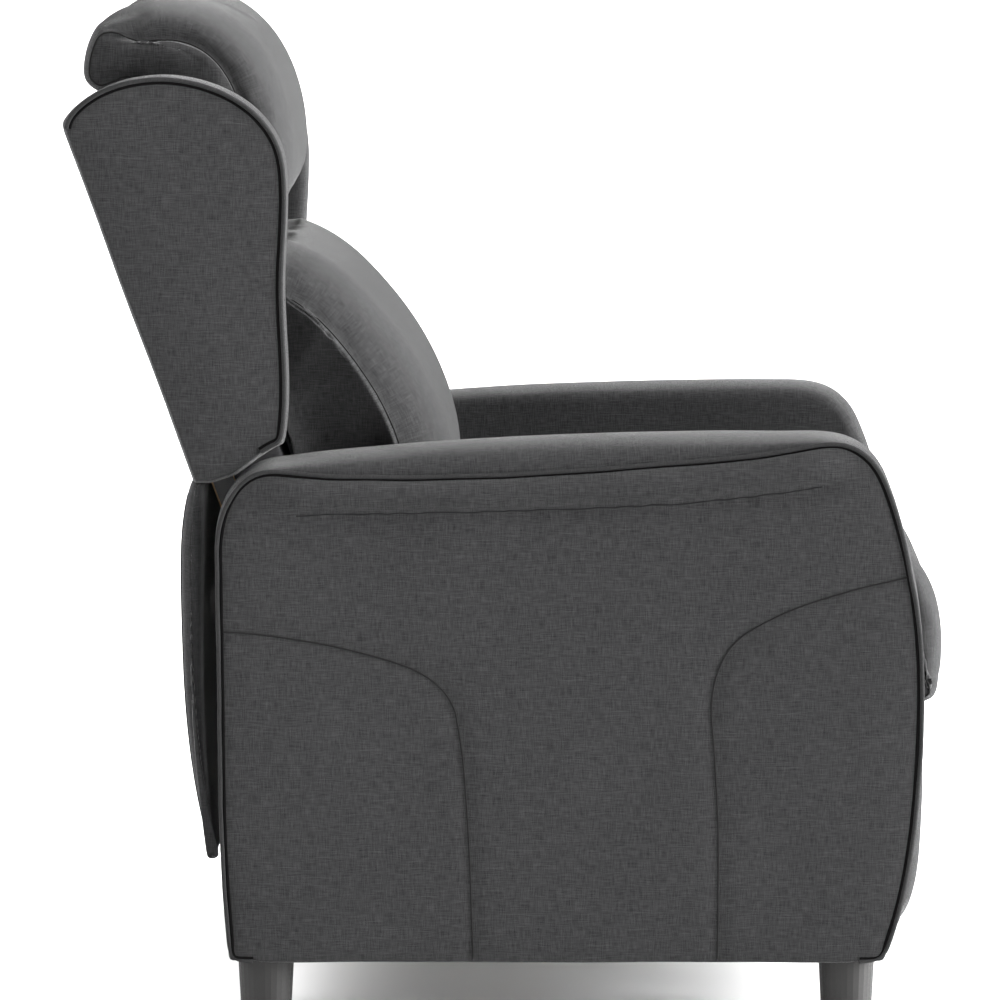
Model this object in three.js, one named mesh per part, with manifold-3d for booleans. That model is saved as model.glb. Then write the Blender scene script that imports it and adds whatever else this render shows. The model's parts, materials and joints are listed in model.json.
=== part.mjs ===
// A push-back recliner armchair with wings: two upholstered arms on round legs, a seat that slides
// forward as the back leans, and a footrest on folding steel links.
//
// Everything is drawn in a side view: x points to the front of the chair, y points up and z points to
// the sitter's right. The last lines turn that into the part's own frame: +Z up, the front towards -Y.
// Sizes are millimetres and angles are degrees.
import * as THREE from "three";
import { mergeVertices } from "three/addons/utils/BufferGeometryUtils.js";
import Module from "manifold-3d";

const wasm = await Module();
wasm.setup();

// ---------------------------------------------------------------- driving dimensions
const gap = 0.3; // between pieces that touch
const legHeight = 60;
const legTopRadius = 28.5;
const legFootRadius = 25.5;
const studRadius = 4;
const studLength = 26;

const armHalfWidth = 346; // chair centre to the outside of an arm
const armWidth = 90;
const armPanel = 10; // thickness of the outside panel
const armFoam = 15; // padding on the top, front, rear and inside of an arm
const armRear = -294;
const armFront = 420;
const armTop = 589;
const armRearTop = 562;
const boardThickness = 15;
const postDepth = 44;

const pivot = { x: -215, y: 370 }; // where the back turns
const lean = 20; // lean of the upright back
const backHeight = 575; // pivot to the top of the outside back panel
const backPanel = 9.5;
const frameDepth = 25; // front to back, of the wooden back frame
const frameRear = -28; // rear face of the wooden back frame, measured from the pivot
const foamDepth = 57;
const wingThickness = 60;
const wingSetBack = 3; // wing's outer face beyond the edge of the outside back

const armInner = armHalfWidth - armWidth; // chair centre to the inside of an arm
const wingInner = armInner + 9;
const wingOuter = wingInner + wingThickness;
const coverHalfWidth = wingOuter - wingSetBack;

const slideAngle = 5; // rise of the seat's track
const seatHalfWidth = armInner - 6;
const seatFront = armFront + 27;
const seatRear = -172;
const seatBase = 362; // underside of the seat cushion
const seatCrown = 484;
const railHeight = 55;
const railWidth = 25;
const linkSpace = 39; // arm to seat frame, which the plates and links share
const railOuter = armInner - linkSpace;
const seatFrameRear = -185;
const seatFrameFront = seatFront - 77;
const springWire = 2;
const springWave = 22;
const springPitch = 94;

const plateThickness = 3; // steel side plates and links
const plateInner = railOuter + gap;
const layerPitch = plateThickness + 1;
const linkHalfWidth = 11;
const rivetRadius = 4;
const rivetPlay = 0.4;
const tubeRadius = 10;
const pinRadius = 7;
const drivePinRadius = 5;
const drivePinDrop = 115; // pivot to the pin that pushes the seat
const drivePinAngle = 19; // behind straight down, at rest

const footrestTop = seatBase - 64;
const footrestBottom = legHeight + 6;
const footrestFront = armFront + 9;
const footrestPad = 41;

// Pivots of the footrest links, folded.
const tubePivot = { x: 256.4, y: 262.8 };
const guidePivot = { x: 325.2, y: 280.7 };
const knee = { x: 133.6, y: 139.2 };
const padPivot = { x: 355, y: 160.2 };
const tiltPivot = { x: 355, y: 219 };
const driveAnchor = { x: 279.5, y: 346 };
const driveShare = 0.344; // where the drive link meets the rear link, as a share of its length
const guideShare = 0.37; // where the guide link meets the front link
const tiltShare = 0.8; // where the tilt link meets the guide link

// ---------------------------------------------------------------- materials
const look = (color, roughness, metalness = 0) =>
  new THREE.MeshStandardMaterial({ color, roughness, metalness });
const fabric = look(0x4f4f51, 0.95);
const darkFabric = look(0x2f2f31, 0.95);
const wood = look(0xb9905e, 0.8);
const steel = look(0x3a3b3d, 0.45, 0.9);
const zinc = look(0xa9adb0, 0.4, 0.9);
const plastic = look(0x3b3b3d, 0.5);

// ---------------------------------------------------------------- helpers
const radians = THREE.MathUtils.degToRad;

// A point of the leaning back: forward from the pivot's line and up along the back.
function leaning(forward, up) {
  const c = Math.cos(radians(lean));
  const s = Math.sin(radians(lean));
  return [pivot.x + forward * c - up * s, pivot.y + forward * s + up * c];
}

// The same for a list of numbers: forward, up, forward, up and so on.
const along = (...numbers) => numbers.flatMap((forward, i) => (i % 2 ? [] : leaning(forward, numbers[i + 1])));

// A closed outline from a start point and steps: [x, y] is a line, and six numbers are a bezier curve.
function outline(start, ...steps) {
  const shape = new THREE.Shape().moveTo(...start);
  for (const step of steps) {
    if (step.length === 2) shape.lineTo(...step);
    else shape.bezierCurveTo(...step);
  }
  return shape;
}

function rectangle(x0, x1, y0, y1) {
  return outline([x0, y0], [x1, y0], [x1, y1], [x0, y1]);
}

// The outline moved inwards by a distance, with its corners kept sharp.
function inset(shape, distance, segments) {
  const points = shape.getPoints(segments).filter((p, i, all) => i === 0 || p.distanceTo(all[i - 1]) > 0.01);
  if (points[0].distanceTo(points[points.length - 1]) < 0.01) points.pop();
  const inward = THREE.ShapeUtils.area(points) > 0 ? 1 : -1;
  const moved = points.map((point, i) => {
    const before = points[(i + points.length - 1) % points.length];
    const after = points[(i + 1) % points.length];
    const a = point.clone().sub(before).normalize();
    const b = after.clone().sub(point).normalize();
    const normal = new THREE.Vector2(-a.y - b.y, a.x + b.x).normalize().multiplyScalar(inward);
    const half = Math.max(0.3, normal.dot(new THREE.Vector2(-a.y, a.x).multiplyScalar(inward)));
    return point.clone().addScaledVector(normal, distance / half);
  });
  return new THREE.Shape(moved);
}

// A hole through a plate.
function drill(shape, centre, radius) {
  shape.holes.push(new THREE.Path().absarc(centre.x, centre.y, radius, 0, 2 * Math.PI, true));
  return shape;
}

// The outline extruded sideways from z0 to z1, with rounded edges where a rounding is given.
function slab(shape, z0, z1, rounding = 0, segments = 8) {
  const geometry = new THREE.ExtrudeGeometry(shape, {
    depth: z1 - z0 - 2 * rounding,
    curveSegments: segments,
    bevelEnabled: rounding > 0,
    bevelThickness: rounding,
    bevelSize: rounding,
    bevelOffset: -rounding,
    bevelSegments: 3,
  });
  return geometry.translate(0, 0, z0 + rounding);
}

// A round bar along z.
function bar(centre, radius, z0, z1, segments = 16) {
  return new THREE.CylinderGeometry(radius, radius, z1 - z0, segments)
    .rotateX(Math.PI / 2)
    .translate(centre.x, centre.y, (z0 + z1) / 2);
}

function block(x0, x1, y0, y1, z0, z1) {
  return new THREE.BoxGeometry(x1 - x0, y1 - y0, z1 - z0).translate((x0 + x1) / 2, (y0 + y1) / 2, (z0 + z1) / 2);
}

function solidOf(geometry) {
  const bare = geometry.index ? geometry.toNonIndexed() : geometry.clone();
  const merged = mergeVertices(new THREE.BufferGeometry().setAttribute("position", bare.attributes.position), 1e-3);
  return new wasm.Manifold(
    new wasm.Mesh({
      numProp: 3,
      vertProperties: merged.attributes.position.array,
      triVerts: new Uint32Array(merged.index.array),
    }),
  );
}

function geometryOf(solid) {
  const { numProp, numVert, vertProperties, triVerts } = solid.getMesh();
  const positions = new Float32Array(numVert * 3);
  for (let i = 0; i < numVert; i++) positions.set(vertProperties.subarray(i * numProp, i * numProp + 3), i * 3);
  return new THREE.BufferGeometry()
    .setAttribute("position", new THREE.BufferAttribute(positions, 3))
    .setIndex(new THREE.BufferAttribute(triVerts, 1));
}

function join(first, ...others) {
  return geometryOf(others.reduce((sum, other) => sum.add(solidOf(other)), solidOf(first)));
}

function cut(first, ...tools) {
  return geometryOf(tools.reduce((rest, tool) => rest.subtract(solidOf(tool)), solidOf(first)));
}

function mesh(name, geometry, material) {
  const made = new THREE.Mesh(geometry, material);
  made.name = name;
  return made;
}

// Pieces drawn for the right side, and the same pieces mirrored for the left.
function bothSides(makePieces) {
  const pair = new THREE.Group();
  for (const side of ["right", "left"]) {
    const group = new THREE.Group();
    for (const [name, geometry, material] of makePieces()) group.add(mesh(`${name}_${side}`, geometry, material));
    if (side === "left") group.scale.z = -1;
    pair.add(group);
  }
  return pair;
}

// ---------------------------------------------------------------- arms and legs
const armOutline = () =>
  outline(
    [armRear + 13, legHeight],
    [armRear + 5, legHeight + 60, armRear + 2, legHeight + 140, armRear + 2, legHeight + 240],
    [armRear, armRearTop - 92],
    [armRear, armRearTop - 32, armRear + 30, armRearTop, armRear + 72, armRearTop],
    [armRear + 234, armTop - 4, armRear + 444, armTop, armFront - 120, armTop],
    [armFront - 75, armTop, armFront - 56, armTop - 14, armFront - 43, armTop - 37],
    [armFront - 19, armTop - 89, armFront, armTop - 170, armFront, armTop - 260],
    [armFront, legHeight + 140, armFront - 16, legHeight + 50, armFront - 40, legHeight],
  );

const legPositions = { rear: armRear + armFoam + 35, front: armFront - 77 };
const boardOuter = armInner + armFoam + gap + boardThickness;
const postOuter = armHalfWidth - armPanel - 2 * gap;

// Padding over the top, front, rear and inside of an arm, open to the outside panel and below.
function armPad(segments) {
  const pocket = inset(armOutline(), armFoam, segments);
  const opened = pocket.getPoints().map((p) => (p.y < legHeight + armFoam + 1 ? new THREE.Vector2(p.x, legHeight - 5) : p));
  return cut(
    slab(armOutline(), armInner, armHalfWidth - armPanel - gap, 0, segments),
    slab(new THREE.Shape(opened), armInner + armFoam, armHalfWidth, 0, segments),
  );
}

function armBoard(segments) {
  const shape = inset(armOutline(), armFoam + gap, segments);
  const points = shape.getPoints().map((p) => new THREE.Vector2(p.x, Math.max(p.y, legHeight)));
  const lowered = points.map((p) => (p.y < legHeight + armFoam + 1 ? new THREE.Vector2(p.x, legHeight + gap) : p));
  return slab(new THREE.Shape(lowered), armInner + armFoam + gap, boardOuter, 0, segments);
}

// A wooden post above a leg, with the hole for the leg's stud.
function armPost(centre, top) {
  const z0 = boardOuter + gap;
  const post = block(centre - postDepth / 2, centre + postDepth / 2, legHeight + gap, top, z0, postOuter);
  const hole = new THREE.CylinderGeometry(studRadius + gap, studRadius + gap, 2 * (studLength + 4), 12);
  return cut(post, hole.translate(centre, legHeight, (z0 + postOuter) / 2));
}

function leg(centre) {
  const profile = [
    [0, 0],
    [legFootRadius - 2, 0],
    [legFootRadius, 2],
    [legTopRadius, legHeight - gap],
    [studRadius, legHeight - gap],
    [studRadius, legHeight + studLength],
    [0, legHeight + studLength],
  ].map(([x, y]) => new THREE.Vector2(x, y));
  return new THREE.LatheGeometry(profile, 28).translate(centre, 0, (boardOuter + gap + postOuter) / 2);
}

const arms = bothSides(() => {
  const segments = 6;
  return [
    ["outside_arm_panel", slab(armOutline(), armHalfWidth - armPanel, armHalfWidth, 3, segments), fabric],
    ["arm_pad", armPad(segments), fabric],
    ["arm_board", armBoard(segments), wood],
    ["arm_front_post", armPost(legPositions.front, armTop - 70), wood],
    ["arm_rear_post", armPost(legPositions.rear, armRearTop - 60), wood],
    ["leg_front", leg(legPositions.front), plastic],
    ["leg_rear", leg(legPositions.rear), plastic],
  ];
});

// ---------------------------------------------------------------- base frame between the arms
const layer = (number) => plateInner + plateThickness + 1 + (number - 1) * layerPitch;
const slideRise = Math.tan(radians(slideAngle));
const trackMiddle = { x: -65, y: 316 };
const trackAt = (x) => trackMiddle.y + (x - trackMiddle.x) * slideRise;
const trackInner = armInner - 16;
const trackHalfHeight = 13;
const trackEnds = [-205, 290];
const tongueEnds = [-190, 60];
const tongueOuter = armInner - 6;
const tonguePlay = 1;

// A strip that follows the track's slope between two stations.
function sloped(x0, x1, below, above, z0, z1) {
  return slab(
    outline([x0, trackAt(x0) - below], [x1, trackAt(x1) - below], [x1, trackAt(x1) + above], [x0, trackAt(x0) + above]),
    z0,
    z1,
  );
}

// Grooved track on an arm, with the lug that anchors the drive link at its front end.
function track() {
  const half = plateThickness / 2 + tonguePlay;
  const body = sloped(...trackEnds, trackHalfHeight, trackHalfHeight, trackInner, armInner - gap);
  const groove = sloped(
    trackEnds[0] - 1, tongueEnds[1] + 90, half, half, trackInner - 1, tongueOuter + tonguePlay);
  const [from, to] = [driveAnchor.x - 13, driveAnchor.x + 10];
  const lug = drill(
    rectangle(from, to, driveAnchor.y - 11, driveAnchor.y + 11), driveAnchor, rivetRadius + rivetPlay);
  const bridge = block(from, from + 5, driveAnchor.y - 9, driveAnchor.y + 9, layer(3) + 1, trackInner + 1);
  return join(cut(body, groove), slab(lug, layer(3), layer(3) + plateThickness), bridge);
}

// Steel plate on an arm, with the pin that the back turns on.
function pivotPlate() {
  const plate = slab(rectangle(pivot.x - 32, pivot.x + 32, pivot.y - 32, pivot.y + 42), armInner - 5, armInner - gap);
  return join(plate, bar(pivot, pinRadius, railOuter - 3.7, armInner - 4, 24));
}

// The outside back below the frame: a padded flap that hangs from the back and hooks on behind the arms.
function flapOutline() {
  const top = leaning(frameRear - backPanel, 196);
  const foot = armRear - 5;
  return outline(
    [top[0], top[1] - 1],
    [armRear - 33, 510, armRear - 35, 470, armRear - 35, 420],
    [armRear - 35, 320, armRear - 31, 250, foot, 162],
    [foot + 4, 162],
    [armRear - 20, 255, armRear - 25, 320, armRear - 25, 420],
    [armRear - 25, 470, armRear - 23, 510, top[0] + 9, top[1] - 4],
  );
}

const rearRail = { depth: 22, low: legHeight + 15, high: legHeight + 95 };
const frontTube = { x: 150, y: legHeight + 20, radius: 12.5 };
const base = new THREE.Group();
base.add(
  arms,
  bothSides(() => [
    ["track", track(), zinc],
    ["pivot_plate", pivotPlate(), steel],
  ]),
  mesh(
    "base_rear_rail",
    block(armRear + 32, armRear + 32 + rearRail.depth, rearRail.low, rearRail.high, gap - armInner, armInner - gap),
    wood,
  ),
  mesh("base_front_tube", bar(frontTube, frontTube.radius, gap - armInner, armInner - gap, 20), steel),
  mesh("rear_flap", slab(flapOutline(), -coverHalfWidth, coverHalfWidth, 0, 6), fabric),
);

// ---------------------------------------------------------------- seat
const railTop = seatBase - 7;
const railBottom = railTop - railHeight;
const drivePin = {
  x: pivot.x - drivePinDrop * Math.sin(radians(drivePinAngle)),
  y: pivot.y - drivePinDrop * Math.cos(radians(drivePinAngle)),
};

// Steel side plate of the seat, with the tongue that runs in the track and the slot for the drive pin.
function sidePlate() {
  const shape = outline(
    [drivePin.x - 23, drivePin.y - 28],
    [drivePin.x + 23, drivePin.y - 28],
    [drivePin.x + 30, railBottom],
    [tubePivot.x - 40, railBottom],
    [tubePivot.x - 18, tubePivot.y - 20],
    [seatFrameFront - 15, tubePivot.y - 20],
    [seatFrameFront, tubePivot.y - 5],
    [seatFrameFront, railTop - 5],
    [drivePin.x + 20, railTop - 5],
    [drivePin.x - 23, drivePin.y + 30],
  );
  drill(shape, tubePivot, tubeRadius + rivetPlay);
  drill(shape, guidePivot, rivetRadius + rivetPlay);
  const slot = new THREE.Path();
  const half = drivePinRadius + 1;
  slot.absarc(drivePin.x, drivePin.y + 8, half, 0, Math.PI, false);
  slot.absarc(drivePin.x, drivePin.y - 12, half, Math.PI, 2 * Math.PI, false);
  shape.holes.push(slot);
  const plate = slab(shape, plateInner, plateInner + plateThickness);
  const tongue = sloped(...tongueEnds, plateThickness / 2, plateThickness / 2, plateInner + 1, tongueOuter);
  return join(plate, tongue);
}

// A zig-zag spring between the front and rear rails.
function seatSpring(z) {
  const from = seatFrameRear + 8;
  const to = seatFrameFront - 8;
  const turns = 7;
  const path = new (class extends THREE.Curve {
    getPoint(t) {
      const taper = Math.min(1, 8 * t, 8 * (1 - t));
      const side = springWave * taper * Math.sin(2 * Math.PI * turns * t);
      return new THREE.Vector3(from + (to - from) * t, railTop + springWire + gap, z + side);
    }
  })();
  const wire = new THREE.Shape().absarc(0, 0, springWire, 0, 2 * Math.PI);
  return new THREE.ExtrudeGeometry(wire, { steps: turns * 6, extrudePath: path, curveSegments: 3, bevelEnabled: false });
}

const seatOutline = () =>
  outline(
    [seatRear, seatBase],
    [seatFrameFront + 6, seatBase],
    [seatFrameFront + 10, footrestTop + 6],
    [seatFront - 50, footrestTop + 3, seatFront - 26, footrestTop + 2, seatFront - 12, footrestTop + 12],
    [seatFront - 4, footrestTop + 26, seatFront, seatBase - 22, seatFront, seatBase + 6],
    [seatFront, seatCrown - 54, seatFront - 26, seatCrown, seatFront - 110, seatCrown],
    [seatFront - 260, seatCrown, seatFront - 400, seatBase + 84, seatRear + 90, seatBase + 84],
    [seatRear + 14, seatBase + 84],
    [seatRear + 4, seatBase + 84, seatRear, seatBase + 80, seatRear, seatBase + 70],
  );

const seat = new THREE.Group();
const railInner = railOuter - railWidth;
seat.add(
  bothSides(() => [
    ["seat_side_rail", block(seatFrameRear, seatFrameFront, railBottom, railTop, railInner, railOuter), wood],
    ["seat_side_plate", sidePlate(), steel],
  ]),
  mesh(
    "seat_front_rail",
    block(seatFrameFront - railWidth, seatFrameFront, railBottom, railTop, gap - railInner, railInner - gap),
    wood,
  ),
  mesh(
    "seat_rear_rail",
    block(seatFrameRear, seatFrameRear + railWidth, railBottom, railTop, gap - railInner, railInner - gap),
    wood,
  ),
  mesh("seat_cushion", slab(seatOutline(), -seatHalfWidth, seatHalfWidth, 6, 6), fabric),
);
for (let i = 0; i < 4; i++) seat.add(mesh(`seat_spring_${i + 1}`, seatSpring((i - 1.5) * springPitch), zinc));

// ---------------------------------------------------------------- back
const postWidth = 45;
const postOuterFace = railOuter - 4;
const postInner = postOuterFace - postWidth;
const topRail = { low: backHeight - 85, high: backHeight - 15 };
const lowRail = { low: -40, high: 0 };
const middleRail = { low: 235, high: 285 };

// A board or pad of the leaning back: front and rear faces measured from the pivot, heights along the back.
function leaningBlock(rear, front, low, high, z0, z1, rounding = 0) {
  const corners = [leaning(rear, low), leaning(front, low), leaning(front, high), leaning(rear, high)];
  return slab(outline(...corners), z0, z1, rounding);
}

// Steel bracket on a back post: it turns on the pivot plate's pin, and its lower end carries the drive pin.
function backBracket() {
  const [upRear, upFront] = [leaning(frameRear + 2, 190), leaning(frameRear + frameDepth - 2, 190)];
  const shape = outline(
    upRear,
    leaning(frameRear + 2, 20),
    [pivot.x - 20, pivot.y - 6],
    [drivePin.x - 11, drivePin.y + 4],
    [drivePin.x - 11, drivePin.y - 14, drivePin.x + 11, drivePin.y - 14, drivePin.x + 11, drivePin.y - 4],
    [pivot.x + 20, pivot.y - 8],
    [pivot.x + 18, pivot.y + 12, pivot.x + 4, pivot.y + 20, ...leaning(frameRear + frameDepth - 2, 60)],
    upFront,
  );
  const plate = slab(drill(shape, pivot, pinRadius + rivetPlay), postOuterFace + gap, postOuterFace + gap + plateThickness);
  return join(plate, bar(drivePin, drivePinRadius, postOuterFace + gap + 1, plateInner + plateThickness + 2));
}

const wingOutline = () =>
  outline(
    along(frameRear, 200),
    along(5, 189),
    along(20, 193, 40, 198, 62, 198),
    along(93, 253, 102, backHeight - 261, 126, backHeight - 206),
    along(142, backHeight - 169, 163, backHeight - 124, 163, backHeight - 96),
    along(162, backHeight - 43, 117, backHeight - 5, 75, backHeight + 11),
    along(37, backHeight + 22, 4, backHeight + 20, frameRear, backHeight - 9),
  );

const foamFront = frameRear + frameDepth + foamDepth;
const lumbarOutline = () => {
  const low = seatBase + 96;
  const up = (low - leaning(foamFront + gap, 0)[1]) / Math.cos(radians(lean));
  return outline(
    along(foamFront + gap, up),
    [leaning(129, 0)[0] - 16, low],
    along(170, 32, 197, 47, 212, 90),
    along(237, 158, 219, backHeight - 325, 186, backHeight - 254),
    along(174, backHeight - 229, 156, backHeight - 204, 133, backHeight - 188),
    along(foamFront + gap, backHeight - 165),
  );
};

const headOutline = () =>
  outline(
    along(foamFront + gap, backHeight - 158),
    along(122, backHeight - 173),
    along(145, backHeight - 162, 155, backHeight - 142, 165, backHeight - 116),
    along(200, backHeight - 20, 173, backHeight + 60, 101, backHeight + 86),
    along(50, backHeight + 105, 9, backHeight + 81, -6, backHeight + 39),
    along(foamFront + gap - 70, backHeight + 2),
    along(foamFront + gap, backHeight + 2),
  );

const back = new THREE.Group();
const frameFront = frameRear + frameDepth;
back.add(
  bothSides(() => [
    [
      "back_post",
      leaningBlock(frameRear, frameFront, lowRail.low, topRail.low - gap, postInner, postOuterFace),
      wood,
    ],
    ["back_bracket", backBracket(), steel],
    ["wing", slab(wingOutline(), wingInner, wingOuter, 8, 6), fabric],
  ]),
  mesh(
    "back_top_rail",
    leaningBlock(frameRear, frameFront, topRail.low, topRail.high, gap - wingInner, wingInner - gap),
    wood,
  ),
  mesh(
    "back_middle_rail",
    leaningBlock(frameRear, frameFront, middleRail.low, middleRail.high, gap - postInner, postInner - gap),
    wood,
  ),
  mesh(
    "back_low_rail",
    leaningBlock(frameRear, frameFront, lowRail.low, lowRail.high, gap - postInner, postInner - gap),
    wood,
  ),
  mesh(
    "back_foam",
    leaningBlock(frameFront + gap, foamFront, 62, backHeight - 5, -seatHalfWidth, seatHalfWidth),
    darkFabric,
  ),
  mesh(
    "outside_back_panel",
    leaningBlock(frameRear - backPanel, frameRear - gap, 196, backHeight, -coverHalfWidth, coverHalfWidth),
    fabric,
  ),
  mesh("lumbar_cushion", slab(lumbarOutline(), -seatHalfWidth, seatHalfWidth, 12, 6), fabric),
  mesh("head_cushion", slab(headOutline(), 3 - wingInner, wingInner - 3, 12, 6), fabric),
);

// ---------------------------------------------------------------- footrest and its links
const between = (a, b, share) => ({ x: a.x + (b.x - a.x) * share, y: a.y + (b.y - a.y) * share });
const driveEnd = between(tubePivot, knee, driveShare);
const guideEnd = between(knee, padPivot, guideShare);
const tiltStart = between(guidePivot, guideEnd, tiltShare);

// A flat link with round ends, drilled at its free pivots.
function link(from, to, number, ...holes) {
  const angle = Math.atan2(to.y - from.y, to.x - from.x);
  const shape = new THREE.Shape();
  shape.absarc(from.x, from.y, linkHalfWidth, angle + Math.PI / 2, angle + (3 * Math.PI) / 2, false);
  shape.absarc(to.x, to.y, linkHalfWidth, angle - Math.PI / 2, angle + Math.PI / 2, false);
  for (const [centre, radius] of holes) drill(shape, centre, radius);
  return slab(shape, layer(number), layer(number) + plateThickness, 0, 8);
}

const rivet = (centre, first, last) =>
  bar(centre, rivetRadius, layer(first) + 1, layer(last) + plateThickness + 0.6, 12);
const rivetHole = rivetRadius + rivetPlay;

// A short rivet end that stops before the neighbouring link.
const rivetEnd = (centre, number, side) => {
  const face = side < 0 ? layer(number) : layer(number) + plateThickness;
  return bar(centre, rivetRadius, Math.min(face - 0.5, face + 0.6 * side), Math.max(face + 0.5, face + 0.6 * side), 12);
};

// The rear link turns with the torque tube and lifts the front link.
function rearLink() {
  const boss = bar(tubePivot, tubeRadius + 7, layer(1), layer(1) + plateThickness, 28);
  const bore = bar(tubePivot, tubeRadius + gap, layer(1) - 1, layer(2), 28);
  return join(cut(join(link(tubePivot, knee, 1), boss), bore), rivet(knee, 1, 2));
}

function frontLink() {
  return join(link(knee, padPivot, 2, [knee, rivetHole]), rivet(padPivot, 2, 3));
}

// The guide link stands off from the side plate, clear of the rear and front links.
function guideLink() {
  const strip = link(guidePivot, guideEnd, 3, [tiltStart, rivetHole]);
  const spacer = bar(guidePivot, 7, plateInner + plateThickness + gap, layer(3) + 1, 16);
  const shaft = bar(guidePivot, rivetRadius, plateInner - 0.2, layer(3) + 1, 12);
  return join(strip, spacer, shaft, rivetEnd(guideEnd, 3, -1));
}

function tiltLink() {
  const shaft = bar(tiltStart, rivetRadius, layer(3) - 0.4, layer(4) + 1, 12);
  return join(link(tiltStart, tiltPivot, 4), shaft, rivetEnd(tiltPivot, 4, -1));
}

// The drive link hangs from the track: it swings the rear link as the seat moves forward.
function driveLink() {
  return join(link(driveAnchor, driveEnd, 2), rivet(driveAnchor, 2, 3), rivetEnd(driveEnd, 2, -1));
}

const boardFront = footrestFront - footrestPad - gap;
const boardRear = boardFront - boardThickness;
const boardHalfWidth = layer(3) - 1;

function footrestBracket() {
  const shape = outline(
    [padPivot.x - 14, padPivot.y - 6],
    [padPivot.x - 14, padPivot.y - 22, padPivot.x - 4, padPivot.y - 30, boardRear - gap, padPivot.y - 30],
    [boardRear - gap, tiltPivot.y + 20],
    [tiltPivot.x - 6, tiltPivot.y + 18, tiltPivot.x - 14, tiltPivot.y + 10, tiltPivot.x - 14, tiltPivot.y],
  );
  const web = slab(drill(shape, padPivot, rivetHole), layer(3), layer(3) + plateThickness);
  const flange = block(
    boardRear - gap - plateThickness, boardRear - gap, padPivot.y - 30, tiltPivot.y + 20, layer(3) - 22, layer(3) + 1);
  return join(web, flange);
}

const padOutline = () => {
  const rear = footrestFront - footrestPad;
  return outline(
    [rear, footrestBottom],
    [rear + 8, footrestBottom],
    [rear + 20, footrestBottom, footrestFront - 14, footrestBottom + 14, footrestFront - 8, footrestBottom + 42],
    [footrestFront, footrestBottom + 80, footrestFront, footrestTop - 60, footrestFront, footrestTop - 14],
    [footrestFront, footrestTop],
    [rear, footrestTop],
  );
};

const footrest = new THREE.Group();
footrest.add(
  bothSides(() => [
    ["rear_link", rearLink(), steel],
    ["front_link", frontLink(), steel],
    ["guide_link", guideLink(), steel],
    ["tilt_link", tiltLink(), steel],
    ["drive_link", driveLink(), steel],
    ["footrest_bracket", footrestBracket(), steel],
  ]),
  mesh("torque_tube", bar(tubePivot, tubeRadius, -layer(1) - plateThickness, layer(1) + plateThickness, 28), steel),
  mesh("footrest_board", block(boardRear, boardFront, footrestBottom + 14, footrestTop - 8, -boardHalfWidth, boardHalfWidth), wood),
  mesh("footrest_pad", slab(padOutline(), -seatHalfWidth, seatHalfWidth, 5, 6), fabric),
);

// ---------------------------------------------------------------- the whole chair
const chair = new THREE.Group();
chair.add(base, seat, back, footrest);
chair.quaternion.setFromRotationMatrix(
  new THREE.Matrix4().makeBasis(
    new THREE.Vector3(0, -1, 0),
    new THREE.Vector3(0, 0, 1),
    new THREE.Vector3(-1, 0, 0),
  ),
);
export default chair;
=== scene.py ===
"""A wing-back recliner armchair in heathered fabric, built as upholstery around its fixed frame."""

import json
import math

import bmesh
import bpy
import numpy as np
from bpy.props import FloatProperty, FloatVectorProperty, IntProperty, PointerProperty
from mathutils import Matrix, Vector
from mathutils.bvhtree import BVHTree
from mathutils.kdtree import KDTree


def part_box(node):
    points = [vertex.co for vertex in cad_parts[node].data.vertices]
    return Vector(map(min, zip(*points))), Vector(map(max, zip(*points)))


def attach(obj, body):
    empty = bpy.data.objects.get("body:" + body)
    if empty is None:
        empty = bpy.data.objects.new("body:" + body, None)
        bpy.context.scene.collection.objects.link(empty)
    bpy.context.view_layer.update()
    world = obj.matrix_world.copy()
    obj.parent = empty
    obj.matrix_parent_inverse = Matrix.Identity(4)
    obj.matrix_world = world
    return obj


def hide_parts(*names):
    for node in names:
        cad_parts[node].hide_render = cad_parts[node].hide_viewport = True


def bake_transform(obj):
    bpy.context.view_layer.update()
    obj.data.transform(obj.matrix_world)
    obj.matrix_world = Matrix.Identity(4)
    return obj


bl_info = {
    "name": "Recliner Armchair",
    "version": (1, 0, 0),
    "blender": (4, 5, 0),
    "location": "View3D > Sidebar > Armchair",
    "description": "Upholstery, piping, seams and finishes for a wing-back recliner",
    "category": "Object",
}

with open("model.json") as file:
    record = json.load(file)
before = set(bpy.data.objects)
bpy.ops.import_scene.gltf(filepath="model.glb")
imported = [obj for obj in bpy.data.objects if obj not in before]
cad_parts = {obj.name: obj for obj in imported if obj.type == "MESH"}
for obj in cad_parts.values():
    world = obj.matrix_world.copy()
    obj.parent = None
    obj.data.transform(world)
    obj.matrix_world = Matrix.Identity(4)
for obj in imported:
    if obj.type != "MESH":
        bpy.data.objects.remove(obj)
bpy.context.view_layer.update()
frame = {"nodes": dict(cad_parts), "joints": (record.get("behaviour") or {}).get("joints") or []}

SIDES = {"right": -1, "left": 1}  # the sitter's right is towards -X
LENS, FILM = 244.5, 36.0  # millimetres
FARTHEST = 200.0  # metres the camera sees


def edge(node, corner, axis):
    """One coordinate of a CAD node's box, in metres: corner 0 is the low one and 1 the high one."""
    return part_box(node)[corner][axis]


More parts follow.
